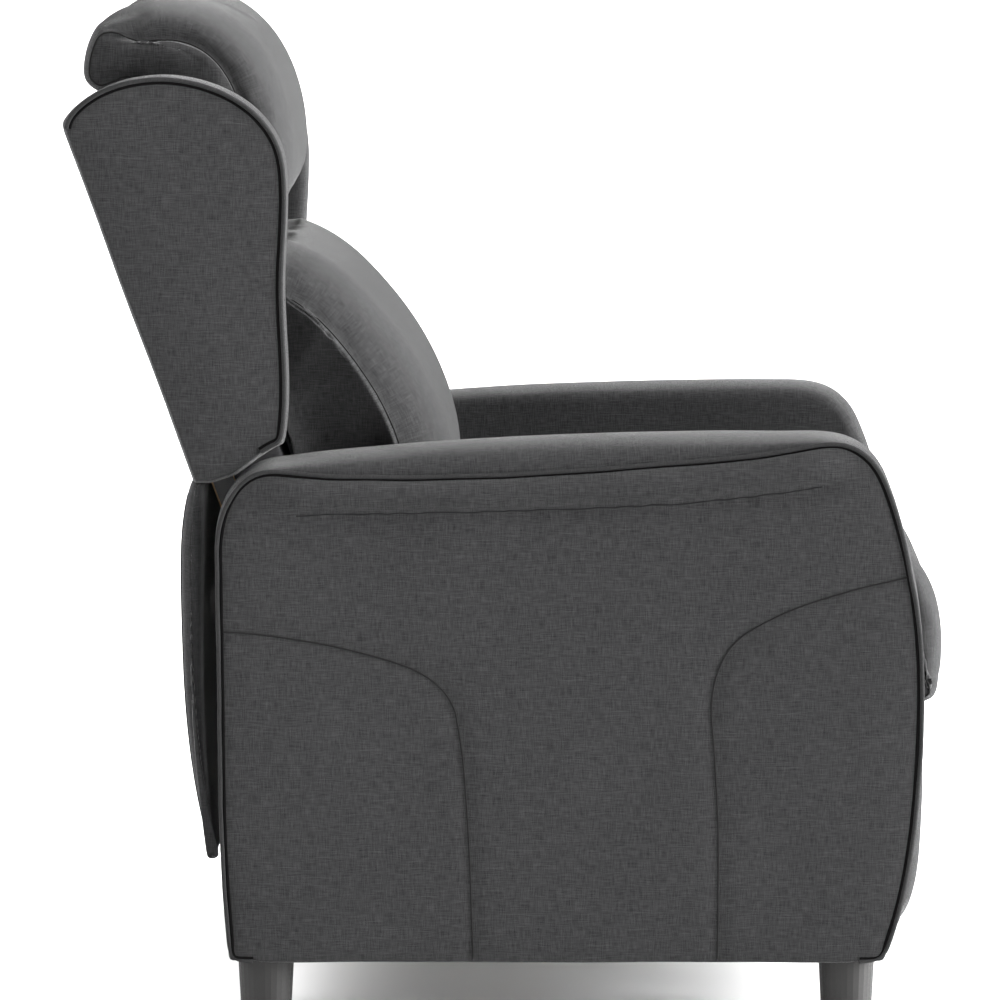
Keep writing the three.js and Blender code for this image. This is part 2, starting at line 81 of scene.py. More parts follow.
# ---------------------------------------------------------------- sizes and colours
class FabricSettings(bpy.types.PropertyGroup):
    """The cloth that covers the chair"""

    light: FloatVectorProperty(
        name="Light yarn", description="Colour of the palest fibres in the heather",
        subtype="COLOR", size=3, min=0, max=1, default=(0.030, 0.030, 0.0305),
    )
    dark: FloatVectorProperty(
        name="Dark yarn", description="Colour of the darkest fibres in the heather",
        subtype="COLOR", size=3, min=0, max=1, default=(0.0095, 0.0095, 0.0098),
    )
    thread_pitch: FloatProperty(
        name="Thread pitch", description="Distance between neighbouring threads of the weave",
        unit="LENGTH", min=0.0004, max=0.005, default=0.00085,
    )
    sheen: FloatProperty(
        name="Fuzz", description="How strongly loose fibres catch the light at a glancing angle",
        subtype="FACTOR", min=0, max=1, default=0.2,
    )


class PaddingSettings(bpy.types.PropertyGroup):
    """How full the cushions are"""

    pressure: FloatProperty(
        name="Filling pressure", description="Pressure that the filling puts on a cushion's cover",
        min=0, max=20, default=4.0,
    )
    frames: IntProperty(
        name="Settling steps", description="Steps that a cover takes to settle over its filling",
        min=2, max=60, default=18,
    )
    seam_depth: FloatProperty(
        name="Seam depth", description="How far a sewn seam pulls the cover in",
        unit="LENGTH", min=0, max=0.02, default=0.006,
    )


class TrimSettings(bpy.types.PropertyGroup):
    """Piping and stitches"""

    piping_radius: FloatProperty(
        name="Piping radius", description="Radius of the covered cord along the arms and wings",
        unit="LENGTH", min=0.001, max=0.01, default=0.0023,
    )
    stitch_length: FloatProperty(
        name="Stitch length", description="Length of one stitch along a seam",
        unit="LENGTH", min=0.001, max=0.02, default=0.0042,
    )
    stitch_gap: FloatProperty(
        name="Stitch gap", description="Space between two stitches",
        unit="LENGTH", min=0.0005, max=0.01, default=0.0016,
    )
    thread_radius: FloatProperty(
        name="Thread radius", description="Radius of the sewing thread",
        unit="LENGTH", min=0.0002, max=0.002, default=0.00055,
    )


class StageSettings(bpy.types.PropertyGroup):
    """Floor, lights and camera"""

    distance: FloatProperty(
        name="Camera distance", description="Camera to the middle of the chair",
        unit="LENGTH", min=1, max=20, default=6.79,
    )
    elevation: FloatProperty(
        name="Camera elevation", description="Height of the view above level",
        subtype="ANGLE", unit="ROTATION", min=0, max=1.5, default=math.radians(6.0),
    )


GROUPS = {
    "armchair_fabric": FabricSettings,
    "armchair_padding": PaddingSettings,
    "armchair_trim": TrimSettings,
    "armchair_stage": StageSettings,
}


def settings(name):
    return getattr(bpy.context.scene, "armchair_" + name)


# ---------------------------------------------------------------- places, read from the frame
ARM_FOOT = edge("outside_arm_panel_right", 0, 2)
ARM_OUTER, ARM_INNER = edge("outside_arm_panel_left", 1, 0), edge("arm_pad_left", 0, 0)
WING_INNER, WING_OUTER = edge("wing_left", 0, 0), edge("wing_left", 1, 0)
FLAP_FOOT = edge("rear_flap", 0, 2)
SEAT_HALF = edge("seat_cushion", 1, 0)
HEAD_HALF = edge("head_cushion", 1, 0)
PIVOT = Vector(next(j["pos_m"] for j in frame["joints"] if j["name"] == "back_recline"))
LEAN = math.radians(20)


def leaning(forward, up):
    """A point of the leaning back, as (front, height): forward of the pivot's line and up along the back."""
    c, s = math.cos(LEAN), math.sin(LEAN)
    return (-PIVOT.y + forward * c - up * s, PIVOT.z + forward * s + up * c)


# ---------------------------------------------------------------- curves and grids
def smooth_path(points, count, closed=False):
    """A smooth curve through the points, as count points at equal distances."""
    p = np.array(points, float)
    if closed:
        p = np.vstack([p[-1], p, p[0], p[1]])
    else:
        p = np.vstack([2 * p[0] - p[1], p, 2 * p[-1] - p[-2]])
    knots = np.concatenate([[0], np.cumsum(np.sqrt(np.linalg.norm(np.diff(p, axis=0), axis=1)))])
    fine = []
    for i in range(1, len(p) - 2):
        t = np.linspace(knots[i], knots[i + 1], 40, endpoint=False)[:, None]
        k0, k1, k2, k3 = knots[i - 1 : i + 3]
        a1 = (k1 - t) / (k1 - k0) * p[i - 1] + (t - k0) / (k1 - k0) * p[i]
        a2 = (k2 - t) / (k2 - k1) * p[i] + (t - k1) / (k2 - k1) * p[i + 1]
        a3 = (k3 - t) / (k3 - k2) * p[i + 1] + (t - k2) / (k3 - k2) * p[i + 2]
        b1 = (k2 - t) / (k2 - k0) * a1 + (t - k0) / (k2 - k0) * a2
        b2 = (k3 - t) / (k3 - k1) * a2 + (t - k1) / (k3 - k1) * a3
        fine.append((k2 - t) / (k2 - k1) * b1 + (t - k1) / (k2 - k1) * b2)
    fine.append(p[-2][None])
    return resample(np.vstack(fine), count)


def lengths_along(points):
    """The distance along a polyline at each of its points."""
    return np.concatenate([[0], np.cumsum(np.linalg.norm(np.diff(points, axis=0), axis=1))])


def resample(points, count):
    """The polyline as count points at equal distances along it."""
    points = np.asarray(points, float)
    run = lengths_along(points)
    at = np.linspace(0, run[-1], count)
    return np.column_stack([np.interp(at, run, points[:, k]) for k in range(points.shape[1])])


def ramp(x, low, high):
    """A smooth step from 0 at low to 1 at high."""
    t = np.clip((np.asarray(x, float) - low) / (high - low), 0, 1)
    return t * t * (3 - 2 * t)


def ripple(*coordinates, seed=0, octaves=3):
    """Smooth repeatable unevenness between about -1 and 1."""
    rng = np.random.default_rng(seed)
    total = np.zeros(np.broadcast(*coordinates).shape)
    for k in range(octaves * 3):
        scale = 1.6 ** (k // 3)
        total += np.sin(
            sum(c * scale * rng.uniform(-1, 1) for c in coordinates) + rng.uniform(0, 6.283)
        ) / scale
    return total / 4


def distance_to(points, line):
    """Distance of each 2-D point to a polyline, with the share of the line's length where it is nearest."""
    points = np.asarray(points, float)
    best = np.full(len(points), np.inf)
    share = np.zeros(len(points))
    run = lengths_along(line)
    for i in range(len(line) - 1):
        a, d = line[i], line[i + 1] - line[i]
        t = np.clip(((points - a) @ d) / (d @ d), 0, 1)
        away = np.linalg.norm(points - a - t[:, None] * d, axis=1)
        nearer = away < best
        best[nearer] = away[nearer]
        share[nearer] = (run[i] + t[nearer] * (run[i + 1] - run[i])) / run[-1]
    return best, share


class Outline:
    """A closed side view of four sides (under, front, over, rear), all as (front, height) in metres."""

    def __init__(self, under, front, over, rear, cell):
        long = max(self.length(s) for s in (under, over))
        tall = max(self.length(s) for s in (front, rear))
        self.across = max(4, int(round(long / cell)))
        self.up = max(4, int(round(tall / cell)))
        self.under = resample(under, self.across + 1)
        self.front = resample(front, self.up + 1)
        self.over = resample(over, self.across + 1)
        self.rear = resample(rear, self.up + 1)
        self.loop = np.vstack([self.under[:-1], self.front[:-1], self.over[:-1], self.rear[:-1]])

    @staticmethod
    def length(points):
        return float(np.linalg.norm(np.diff(np.asarray(points, float), axis=0), axis=1).sum())

    def normals(self):
        """Outward direction at each point of the loop."""
        along = np.roll(self.loop, -1, 0) - np.roll(self.loop, 1, 0)
        for _ in range(2):
            along = along + 0.5 * (np.roll(along, 1, 0) + np.roll(along, -1, 0))
        out = np.column_stack([along[:, 1], -along[:, 0]])
        return out / np.linalg.norm(out, axis=1)[:, None]

    def fill(self, loop):
        """The inside of a loop with this outline's number of points, as a grid of rows from under to over."""
        n, m = self.across, self.up
        s, t = np.linspace(0, 1, n + 1)[None, :, None], np.linspace(0, 1, m + 1)[:, None, None]
        under, front = loop[: n + 1], loop[n : n + m + 1]
        over = loop[n + m : 2 * n + m + 1][::-1]
        rear = np.vstack([loop[2 * n + m :], loop[:1]])[::-1]
        flat = (1 - t) * under[None] + t * over[None] + (1 - s) * rear[:, None] + s * front[:, None]
        low_corners = (1 - s) * (1 - t) * under[0] + s * (1 - t) * under[-1]
        return flat - (low_corners + (1 - s) * t * over[0] + s * t * over[-1])


def mesh_object(name, vertices, faces, uvs=None):
    """A mesh piece at the origin, with its cloth coordinates in metres where they are given per corner."""
    mesh = bpy.data.meshes.new(name)
    mesh.from_pydata([tuple(v) for v in vertices], [], [tuple(f) for f in faces])
    if uvs is not None:
        layer = mesh.uv_layers.new(name="cloth")
        layer.data.foreach_set("uv", np.asarray(uvs, np.float32).ravel())
    mesh.update()
    piece = bpy.data.objects.new(name, mesh)
    bpy.context.scene.collection.objects.link(piece)
    return piece


def grid_faces(rows, cols, start=0, flip=False, wrap=False):
    """Quads of a grid of vertices, and each corner's row and column."""
    r = np.arange(rows if wrap else rows - 1)
    c = np.arange(cols - 1)
    r, c = [a.ravel() for a in np.meshgrid(r, c, indexing="ij")]
    corners = [(r, c), (r, c + 1), (r + 1, c + 1), (r + 1, c)]
    if flip:
        corners = corners[::-1]
    faces = np.column_stack([start + (a % rows) * cols + b for a, b in corners])
    return faces, corners


def cover(name, outline, low, high, corner_low, corner_high, cell, bulge=None):
    """A closed cover: a band that follows the outline from x = low to x = high, and a panel at each end.

    corner_low and corner_high are (sideways, drop): how far from the end the band starts to turn, and how
    far it drops inside the outline by the end. A drop may be one number or one for each point of the outline.
    bulge(points, end) gives how far an end panel stands out at its (front, height) points, for end -1 or 1.
    Gives the piece, and the rim of each end as points.
    """
    loop, normals = outline.loop, outline.normals()
    n = len(loop)
    xs, drops = [], []
    for x_end, (side, drop), sign in ((low, corner_low, -1), (high, corner_high, 1)):
        steps = max(3, int(round(side * 1.5 / cell)))
        angle = np.linspace(0, math.pi / 2, steps + 1)
        x = x_end - sign * side * (1 - np.sin(angle))
        d = 1 - np.cos(angle)
        if sign < 0:
            x, d = x[::-1], d[::-1]
        xs.append(x)
        drops.append(d[None, :] * np.broadcast_to(drop, n)[:, None])
    flat = max(2, int(round((xs[1][0] - xs[0][-1]) / cell)))
    middle = np.linspace(xs[0][-1], xs[1][0], flat + 1)[1:-1]
    x = np.concatenate([xs[0], middle, xs[1]])
    drop = np.hstack([drops[0], np.zeros((n, len(middle))), drops[1]])
    band = loop[:, None, :] - drop[:, :, None] * normals[:, None, :]
    cols = len(x)
    points = np.empty((n, cols, 3))
    points[:, :, 0], points[:, :, 1], points[:, :, 2] = x[None], -band[:, :, 0], band[:, :, 1]
    vertices = [points.reshape(-1, 3)]
    run = lengths_along(np.vstack([loop, loop[:1]]))
    across = np.concatenate([[0], np.cumsum(np.hypot(np.diff(x), np.diff(drop.max(0))))])
    faces, corners = grid_faces(n, cols, wrap=True)
    all_faces = [faces]
    uvs = [np.stack([np.column_stack([across[c], run[r]]) for r, c in corners], axis=1).reshape(-1, 2)]
    start = n * cols
    for end, column in ((-1, 0), (1, cols - 1)):
        grid = outline.fill(band[:, column])
        rows, width = grid.shape[:2]
        out = np.zeros((rows, width))
        if bulge is not None:
            out = bulge(grid.reshape(-1, 2), end).reshape(rows, width)
            out[[0, -1], :] = 0
            out[:, [0, -1]] = 0
        cap = np.empty((rows, width, 3))
        cap[..., 0] = x[column] + end * out
        cap[..., 1], cap[..., 2] = -grid[..., 0], grid[..., 1]
        vertices.append(cap.reshape(-1, 3))
        faces, corners = grid_faces(rows, width, start, flip=end > 0)
        all_faces.append(faces)
        flat_uv = grid.reshape(-1, 2)
        uvs.append(np.stack([flat_uv[r * width + c] for r, c in corners], axis=1).reshape(-1, 2))
        start += rows * width
    piece = mesh_object(name, np.vstack(vertices), np.vstack(all_faces), np.vstack(uvs))
    tidy(piece)
    return piece, {-1: points[:, 0].copy(), 1: points[:, -1].copy()}


def tidy(piece, distance=1e-5):
    """Merges doubled vertices and turns every face outwards."""
    work = bmesh.new()
    work.from_mesh(piece.data)
    bmesh.ops.remove_doubles(work, verts=work.verts, dist=distance)
    bmesh.ops.recalc_face_normals(work, faces=work.faces)
    work.to_mesh(piece.data)
    work.free()
    piece.data.shade_smooth()


def coordinates(piece):
    co = np.empty(len(piece.data.vertices) * 3)
    piece.data.vertices.foreach_get("co", co)
    return co.reshape(-1, 3)


def set_coordinates(piece, co):
    piece.data.vertices.foreach_set("co", np.asarray(co, float).ravel())
    piece.data.update()


def vertex_normals(piece):
    out = np.empty(len(piece.data.vertices) * 3)
    piece.data.vertex_normals.foreach_get("vector", out)
    return out.reshape(-1, 3)


def subdivide(piece, levels=1):
    smooth = piece.modifiers.new("smooth", "SUBSURF")
    smooth.levels = smooth.render_levels = levels
    smooth.uv_smooth = "PRESERVE_BOUNDARIES"
    flatten(piece)


def flatten(piece):
    """Turns a piece and its modifiers into a plain mesh."""
    depsgraph = bpy.context.evaluated_depsgraph_get()
    mesh = bpy.data.meshes.new_from_object(piece.evaluated_get(depsgraph), depsgraph=depsgraph)
    piece.modifiers.clear()
    if piece.type == "MESH":
        piece.data = mesh
        return piece
    name = piece.name
    bpy.data.objects.remove(piece)
    made = bpy.data.objects.new(name, mesh)
    bpy.context.scene.collection.objects.link(made)
    return made


def settle(piece, held, most):
    """Lets a cover settle over its filling: cloth under pressure, kept still where held is 1.

    Each point moves at most its own share of most.
    """
    padding = settings("padding")
    group = piece.vertex_groups.new(name="held")
    for weight in np.unique(np.round(held, 1)):
        if weight > 0:
            group.add([int(i) for i in np.nonzero(np.round(held, 1) == weight)[0]], float(weight), "REPLACE")
    cloth = piece.modifiers.new("filling", "CLOTH")
    cloth.settings.quality = 5
    cloth.settings.mass = 0.25
    cloth.settings.tension_stiffness = cloth.settings.compression_stiffness = 12.0
    cloth.settings.shear_stiffness = 4.0
    cloth.settings.bending_stiffness = 0.6
    cloth.settings.use_pressure = True
    cloth.settings.uniform_pressure_force = padding.pressure
    cloth.settings.effector_weights.gravity = 0
    cloth.settings.vertex_group_mass = "held"
    cloth.settings.shrink_min = -0.02
    cloth.collision_settings.use_collision = False
    cloth.point_cache.frame_start = 1
    cloth.point_cache.frame_end = padding.frames
    rest = coordinates(piece)
    scene = bpy.context.scene
    for step in range(1, padding.frames + 1):
        scene.frame_set(step)
    depsgraph = bpy.context.evaluated_depsgraph_get()
    settled = np.empty(len(rest) * 3)
    piece.evaluated_get(depsgraph).data.vertices.foreach_get("co", settled)
    move = settled.reshape(-1, 3) - rest
    size = np.linalg.norm(move, axis=1)
    factor = most * np.tanh(size / most) / np.maximum(size, 1e-9)
    piece.modifiers.clear()
    piece.vertex_groups.clear()
    scene.frame_set(1)
    set_coordinates(piece, rest + move * factor[:, None])


def curve(*parts, place=None):
    """A side view line in metres from points in millimetres, where 2 numbers go straight and 6 bend."""
    line = [np.array(parts[0], float)]
    for part in parts[1:]:
        if len(part) == 2:
            line.append(np.array(part, float))
            continue
        a, b, c, d = line[-1], *np.array(part, float).reshape(3, 2)
        for t in np.linspace(0, 1, 33)[1:]:
            line.append((1 - t) ** 3 * a + 3 * t * (1 - t) ** 2 * b + 3 * t * t * (1 - t) * c + t**3 * d)
    line = np.array(line) / 1000
    return line if place is None else np.array([place(*p) for p in line])


# ---------------------------------------------------------------- laying lines on a cover
def surface_of(piece):
    return BVHTree.FromPolygons(
        [v.co for v in piece.data.vertices], [tuple(p.vertices) for p in piece.data.polygons]
    )


def lay_on(surface, points, lift=0.0):
    """The points moved onto a cover, standing proud by lift."""
    laid = []
    for point in points:
        spot, normal, _, _ = surface.find_nearest(Vector(point))
        laid.append(spot + normal * lift)
    return laid


def press_on(surface, points, end, lift=0.0):
    """(front, height) points pressed sideways onto the outside of a cover, from end -1 or 1."""
    laid = []
    for front, height in points:
        spot, normal, _, _ = surface.ray_cast(Vector((end * 2.0, -front, height)), Vector((-end, 0, 0)))
        if spot is not None:
            laid.append(spot + normal * lift)
    return laid


def line_object(name, lines, closed=False):
    """A curve object with one open or closed line for each list of points."""
    data = bpy.data.curves.new(name, "CURVE")
    data.dimensions = "3D"
    for points in lines:
        spline = data.splines.new("POLY")
        spline.points.add(len(points) - 1)
        for knot, point in zip(spline.points, points):
            knot.co = (*point, 1)
        spline.use_cyclic_u = closed
    made = bpy.data.objects.new(name, data)
    bpy.context.scene.collection.objects.link(made)
    return made


def grow(name, lines, tree, values, closed=False):
    """Runs a geometry node tree along lines, with inputs by name, and returns the plain mesh piece."""
    made = line_object(name, lines, closed)
    maker = made.modifiers.new(tree.name, "NODES")
    maker.node_group = tree
    for socket in tree.interface.items_tree:
        if socket.in_out == "INPUT" and socket.name in values:
            maker[socket.identifier] = values[socket.name]
    made = flatten(made)
    made.name = name
    return made


def finish_piece(piece, body, slot, *replaced, material=None, fill=None):
    """Rides a piece on its named body (or fixes it in place when the body is not a name), gives it its
    material and hides the CAD nodes that it stands for. The slot is not used.
    """
    if material is not None:
        piece.data.materials.clear()
        piece.data.materials.append(material)
    if isinstance(body, str):
        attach(piece, body)
    else:
        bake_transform(piece)
    if replaced:
        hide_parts(*replaced)
    return piece


def upholster(piece, body, *replaced, fill):
    """Finishes a padded piece in the chair's cloth."""
    return finish_piece(piece, body, "upholstery", *replaced, material=LOOKS["cloth"], fill=fill)


# ---------------------------------------------------------------- node helpers
def node(tree, kind, inputs=None, **options):
    """Adds one node, sets its options and fills its inputs with values or links."""
    made = tree.nodes.new(kind)
    for name, value in options.items():
        setattr(made, name, value)
    for name, value in (inputs or {}).items():
        if isinstance(value, bpy.types.NodeSocket):
            tree.links.new(value, made.inputs[name])
        else:
            made.inputs[name].default_value = value
    return made


def calc(tree, operation, *values):
    """The output of one math node."""
    return node(tree, "ShaderNodeMath", dict(enumerate(values)), operation=operation).outputs[0]


def vector_calc(tree, operation, *values):
    """The output of one vector math node."""
    return node(tree, "ShaderNodeVectorMath", dict(enumerate(values)), operation=operation).outputs[0]


def spread(tree, value, low, high, out_low=0.0, out_high=1.0):
    """A value stretched from one range to another and held inside it."""
    limits = {"From Min": low, "From Max": high, "To Min": out_low, "To Max": out_high}
    return node(tree, "ShaderNodeMapRange", {"Value": value, **limits}).outputs["Result"]


def noise(tree, vector, scale, detail=2.0, roughness=0.5):
    values = {"Vector": vector, "Scale": scale, "Detail": detail, "Roughness": roughness}
    return node(tree, "ShaderNodeTexNoise", values).outputs["Fac"]


def drift(tree, place, scale, detail, amount):
    """A place moved a little by noise, so that lines on it waver."""
    values = {"Vector": place, "Scale": scale, "Detail": detail}
    cloud = node(tree, "ShaderNodeTexNoise", values).outputs["Color"]
    return vector_calc(tree, "ADD", place, vector_calc(tree, "MULTIPLY", cloud, amount))


def stretched(tree, x, y, x_size, y_size, layer=0.0):
    """Coordinates for streaks that are x_size wide and y_size long, in metres."""
    values = {"X": calc(tree, "DIVIDE", x, x_size), "Y": calc(tree, "DIVIDE", y, y_size), "Z": layer}
    return node(tree, "ShaderNodeCombineXYZ", values).outputs[0]


def blend_colours(tree, factor, first, second, how="MIX"):
    made = tree.nodes.new("ShaderNodeMix")
    made.data_type = "RGBA"
    made.blend_type = how
    for socket, value in ((made.inputs[0], factor), (made.inputs[6], first), (made.inputs[7], second)):
        if isinstance(value, bpy.types.NodeSocket):
            tree.links.new(value, socket)
        else:
            socket.default_value = value
    return made.outputs[2]


def sockets(tree, way, kinds):
    """Gives a tree its sockets, from (name, kind, default) rows."""
    for name, kind, default in kinds:
        made = tree.interface.new_socket(name, in_out=way, socket_type="NodeSocket" + kind)
        if default is not None:
            made.default_value = default


def ends(tree):
    return tree, tree.nodes.new("NodeGroupInput").outputs, tree.nodes.new("NodeGroupOutput").inputs


def shader_group(name, **inputs):
    """A shader node group that gives a colour, a roughness and a height, with its inputs by name."""
    tree = bpy.data.node_groups.new(name, "ShaderNodeTree")
    rows = [(key, "Color" if isinstance(value, tuple) else "Float", value) for key, value in inputs.items()]
    sockets(tree, "INPUT", rows)
    results = (("Color", "Color"), ("Roughness", "Float"), ("Height", "Float"))
    sockets(tree, "OUTPUT", [(key, kind, None) for key, kind in results])
    return ends(tree)


def weave_group():
    """Heathered plain weave: streaky warp and weft threads over and under each other."""
    tree, given, out = shader_group(
        "Heather weave", Light=(0.2, 0.2, 0.2, 1), Dark=(0.04, 0.04, 0.04, 1), Pitch=0.0013, Evenness=0.0
    )
    pitch = given["Pitch"]
    place = node(tree, "ShaderNodeUVMap", uv_map="cloth").outputs[0]
    place = drift(tree, place, 28.0, 1.0, (0.004, 0.004, 0.0))
    split = node(tree, "ShaderNodeSeparateXYZ", {0: place}).outputs
    x, y = split["X"], split["Y"]
    long = calc(tree, "MULTIPLY", pitch, 16.0)
    longer = calc(tree, "MULTIPLY", pitch, 60.0)
    wide = calc(tree, "MULTIPLY", pitch, 1.3)
    warp = noise(tree, stretched(tree, x, y, wide, long), 1.0, 1.0)
    weft = noise(tree, stretched(tree, x, y, long, wide, 7.0), 1.0, 1.0)
    slub = noise(tree, stretched(tree, x, y, longer, calc(tree, "MULTIPLY", pitch, 2.2), 3.0), 1.0, 1.0)
    turn = calc(tree, "DIVIDE", 3.14159, pitch)
    waves = [calc(tree, "SINE", calc(tree, "MULTIPLY", way, turn)) for way in (x, y)]
    over = calc(tree, "MULTIPLY", *waves)
    top = spread(tree, over, -0.35, 0.35)
    below = calc(tree, "MULTIPLY", weft, calc(tree, "SUBTRACT", 1.0, top))
    thread = calc(tree, "ADD", calc(tree, "MULTIPLY", warp, top), below)
    tone = spread(tree, thread, 0.28, 0.72)
    tone = calc(tree, "ADD", tone, spread(tree, slub, 0.6, 0.75, 0.0, 0.3))
    cloud = spread(tree, noise(tree, place, 170.0, 3.0, 0.6), 0.3, 0.7, -0.08, 0.08)
    tone = calc(tree, "ADD", tone, cloud)
    patch = spread(tree, noise(tree, place, 9.0, 2.0), 0.3, 0.7, -0.03, 0.03)
    tone = calc(tree, "ADD", tone, patch)
    varied = calc(tree, "MULTIPLY", tone, calc(tree, "SUBTRACT", 1.0, given["Evenness"]))
    tone = calc(tree, "ADD", varied, calc(tree, "MULTIPLY", given["Evenness"], 0.4))
    tone = spread(tree, tone, 0.0, 1.0)
    colour = blend_colours(tree, tone, given["Dark"], given["Light"])
    tree.links.new(colour, out["Color"])
    tree.links.new(spread(tree, tone, 0.0, 1.0, 0.95, 0.78), out["Roughness"])
    crown = calc(tree, "ABSOLUTE", over)
    height = calc(tree, "ADD", calc(tree, "MULTIPLY", crown, 0.6), calc(tree, "MULTIPLY", thread, 0.8))
    tree.links.new(height, out["Height"])
    return tree


def wear_group():
    """Mottled dust and scuffs on hard parts, in object space."""
    tree, given, out = shader_group(
        "Shop wear", Base=(0.1, 0.1, 0.1, 1), Worn=(0.3, 0.3, 0.3, 1), Scale=60.0, Amount=0.3, Smooth=0.35
    )
    place = node(tree, "ShaderNodeTexCoord").outputs["Object"]
    grit = noise(tree, place, given["Scale"], 5.0, 0.65)
    scuff = noise(tree, vector_calc(tree, "MULTIPLY", place, (14.0, 2.0, 14.0)), given["Scale"], 3.0, 0.7)
    edge_wear = spread(tree, node(tree, "ShaderNodeNewGeometry").outputs["Pointiness"], 0.51, 0.56)
    mask = calc(tree, "ADD", spread(tree, scuff, 0.55, 0.75), calc(tree, "MULTIPLY", edge_wear, grit))
    mask = calc(tree, "MULTIPLY", spread(tree, mask, 0.0, 1.0), given["Amount"])
    tree.links.new(blend_colours(tree, mask, given["Base"], given["Worn"]), out["Color"])
    rough = calc(tree, "ADD", given["Smooth"], spread(tree, grit, 0.3, 0.7, -0.06, 0.12))
    tree.links.new(calc(tree, "ADD", rough, calc(tree, "MULTIPLY", mask, 0.2)), out["Roughness"])
    tree.links.new(grit, out["Height"])
    return tree


def grain_group():
    """Straight wood grain with darker growth lines and pores."""
    tree, given, out = shader_group(
        "Planed grain", Early=(0.5, 0.34, 0.18, 1), Late=(0.3, 0.17, 0.07, 1), Scale=1.0
    )
    place = node(tree, "ShaderNodeTexCoord").outputs["Object"]
    place = node(tree, "ShaderNodeVectorMath", {0: place, 3: given["Scale"]}, operation="SCALE").outputs[0]
    bent = drift(tree, place, 3.0, 2.0, (0.06, 0.06, 0.06))
    values = {"Vector": bent, "Scale": 18.0, "Distortion": 2.5, "Detail": 3.0, "Detail Scale": 1.5}
    rings = node(tree, "ShaderNodeTexWave", values, bands_direction="Y").outputs["Fac"]
    pores = noise(tree, vector_calc(tree, "MULTIPLY", place, (18.0, 420.0, 60.0)), 1.0, 3.0, 0.6)
    tone = calc(tree, "ADD", calc(tree, "MULTIPLY", rings, 0.65), spread(tree, pores, 0.45, 0.75, 0.0, 0.5))
    tone = spread(tree, tone, 0.0, 1.0)
    tree.links.new(blend_colours(tree, tone, given["Early"], given["Late"]), out["Color"])
    tree.links.new(spread(tree, tone, 0.0, 1.0, 0.5, 0.72), out["Roughness"])
    tree.links.new(calc(tree, "SUBTRACT", 1.0, tone), out["Height"])
    return tree


def finish_material(name, group, values, bump, surface):
    """A material with its colour, roughness and relief from a shared group and fixed shader numbers."""
    material = bpy.data.materials.new(name)
    material.use_nodes = True
    tree = material.node_tree
    tree.nodes.clear()
    look = node(tree, "ShaderNodeGroup", node_tree=group)
    for socket, value in values.items():
        look.inputs[socket].default_value = value
    given = look.outputs
    strength, distance = bump
    relief = node(
        tree, "ShaderNodeBump", {"Strength": strength, "Distance": distance, "Height": given["Height"]}
    )
    fed = {"Base Color": given["Color"], "Roughness": given["Roughness"], "Normal": relief.outputs[0]}
    shader = node(tree, "ShaderNodeBsdfPrincipled", {**fed, **surface})
    node(tree, "ShaderNodeOutputMaterial", {"Surface": shader.outputs[0]})
    return material


# ---------------------------------------------------------------- trees that follow a line
def line_tree(name, sizes, *materials):
    """A geometry node tree with a line input, named sizes and materials, and one geometry output."""
    tree = bpy.data.node_groups.new(name, "GeometryNodeTree")
    rows = [(key, "Int" if isinstance(value, int) else "Float", value) for key, value in sizes.items()]
    rows += [(key, "Material", None) for key in materials]
    sockets(tree, "INPUT", [("Line", "Geometry", None), *rows])
    sockets(tree, "OUTPUT", [("Mesh", "Geometry", None)])
    return ends(tree)


def keep(tree, geometry, name, value):
    """Captures a number on a curve: gives the curve and the number."""
    kept = node(tree, "GeometryNodeCaptureAttribute", {"Geometry": geometry})
    kept.capture_items.new("FLOAT", name)
    tree.links.new(value, kept.inputs[1])
    return kept.outputs


def through(tree, kind, geometry, **inputs):
    """The geometry that one more node makes of a geometry."""
    made = tree.nodes.new("GeometryNode" + kind)
    tree.links.new(geometry, made.inputs[0])
    for name, value in inputs.items():
        tree.links.new(value, made.inputs[name])
    return made.outputs[0]


def piping_tree():
    """Covered cord: a round section swept along the line, slightly uneven, with its cloth coordinates."""
    sizes = {"Radius": 0.004, "Spacing": 0.003, "Unevenness": 0.06, "Seed": 3}
    tree, given, out = line_tree("Piping", sizes, "Cloth")
    line = {"Curve": given["Line"], "Length": given["Spacing"]}
    path = node(tree, "GeometryNodeResampleCurve", line, mode="LENGTH").outputs[0]
    path, along = keep(tree, path, "along", node(tree, "GeometryNodeSplineParameter").outputs["Length"])[:2]
    values = {"W": given["Seed"], "Scale": 45.0, "Detail": 2.0}
    waver = node(tree, "ShaderNodeTexNoise", values, noise_dimensions="4D").outputs[0]
    swell = calc(tree, "MULTIPLY_ADD", calc(tree, "SUBTRACT", waver, 0.5), given["Unevenness"], 1.0)
    thickness = calc(tree, "MULTIPLY", swell, given["Radius"])
    ring = node(tree, "GeometryNodeCurvePrimitiveCircle", {"Resolution": 12, "Radius": 1.0}).outputs[0]
    ring, around = keep(tree, ring, "around", node(tree, "GeometryNodeSplineParameter").outputs["Factor"])[:2]
    section = {"Curve": path, "Profile Curve": ring, "Scale": thickness, "Fill Caps": True}
    swept = node(tree, "GeometryNodeCurveToMesh", section).outputs[0]
    turn = calc(tree, "MULTIPLY", calc(tree, "MULTIPLY", around, 6.2832), given["Radius"])
    place = node(tree, "ShaderNodeCombineXYZ", {"X": calc(tree, "ADD", turn, along), "Y": along}).outputs[0]
    values = {"Geometry": swept, "Name": "cloth", "Value": place}
    made = node(tree, "GeometryNodeStoreNamedAttribute", values, data_type="FLOAT2", domain="CORNER")
    made = through(tree, "RealizeInstances", through(tree, "SetShadeSmooth", made.outputs[0]))
    tree.links.new(through(tree, "SetMaterial", made, Material=given["Cloth"]), out["Mesh"])
    return tree


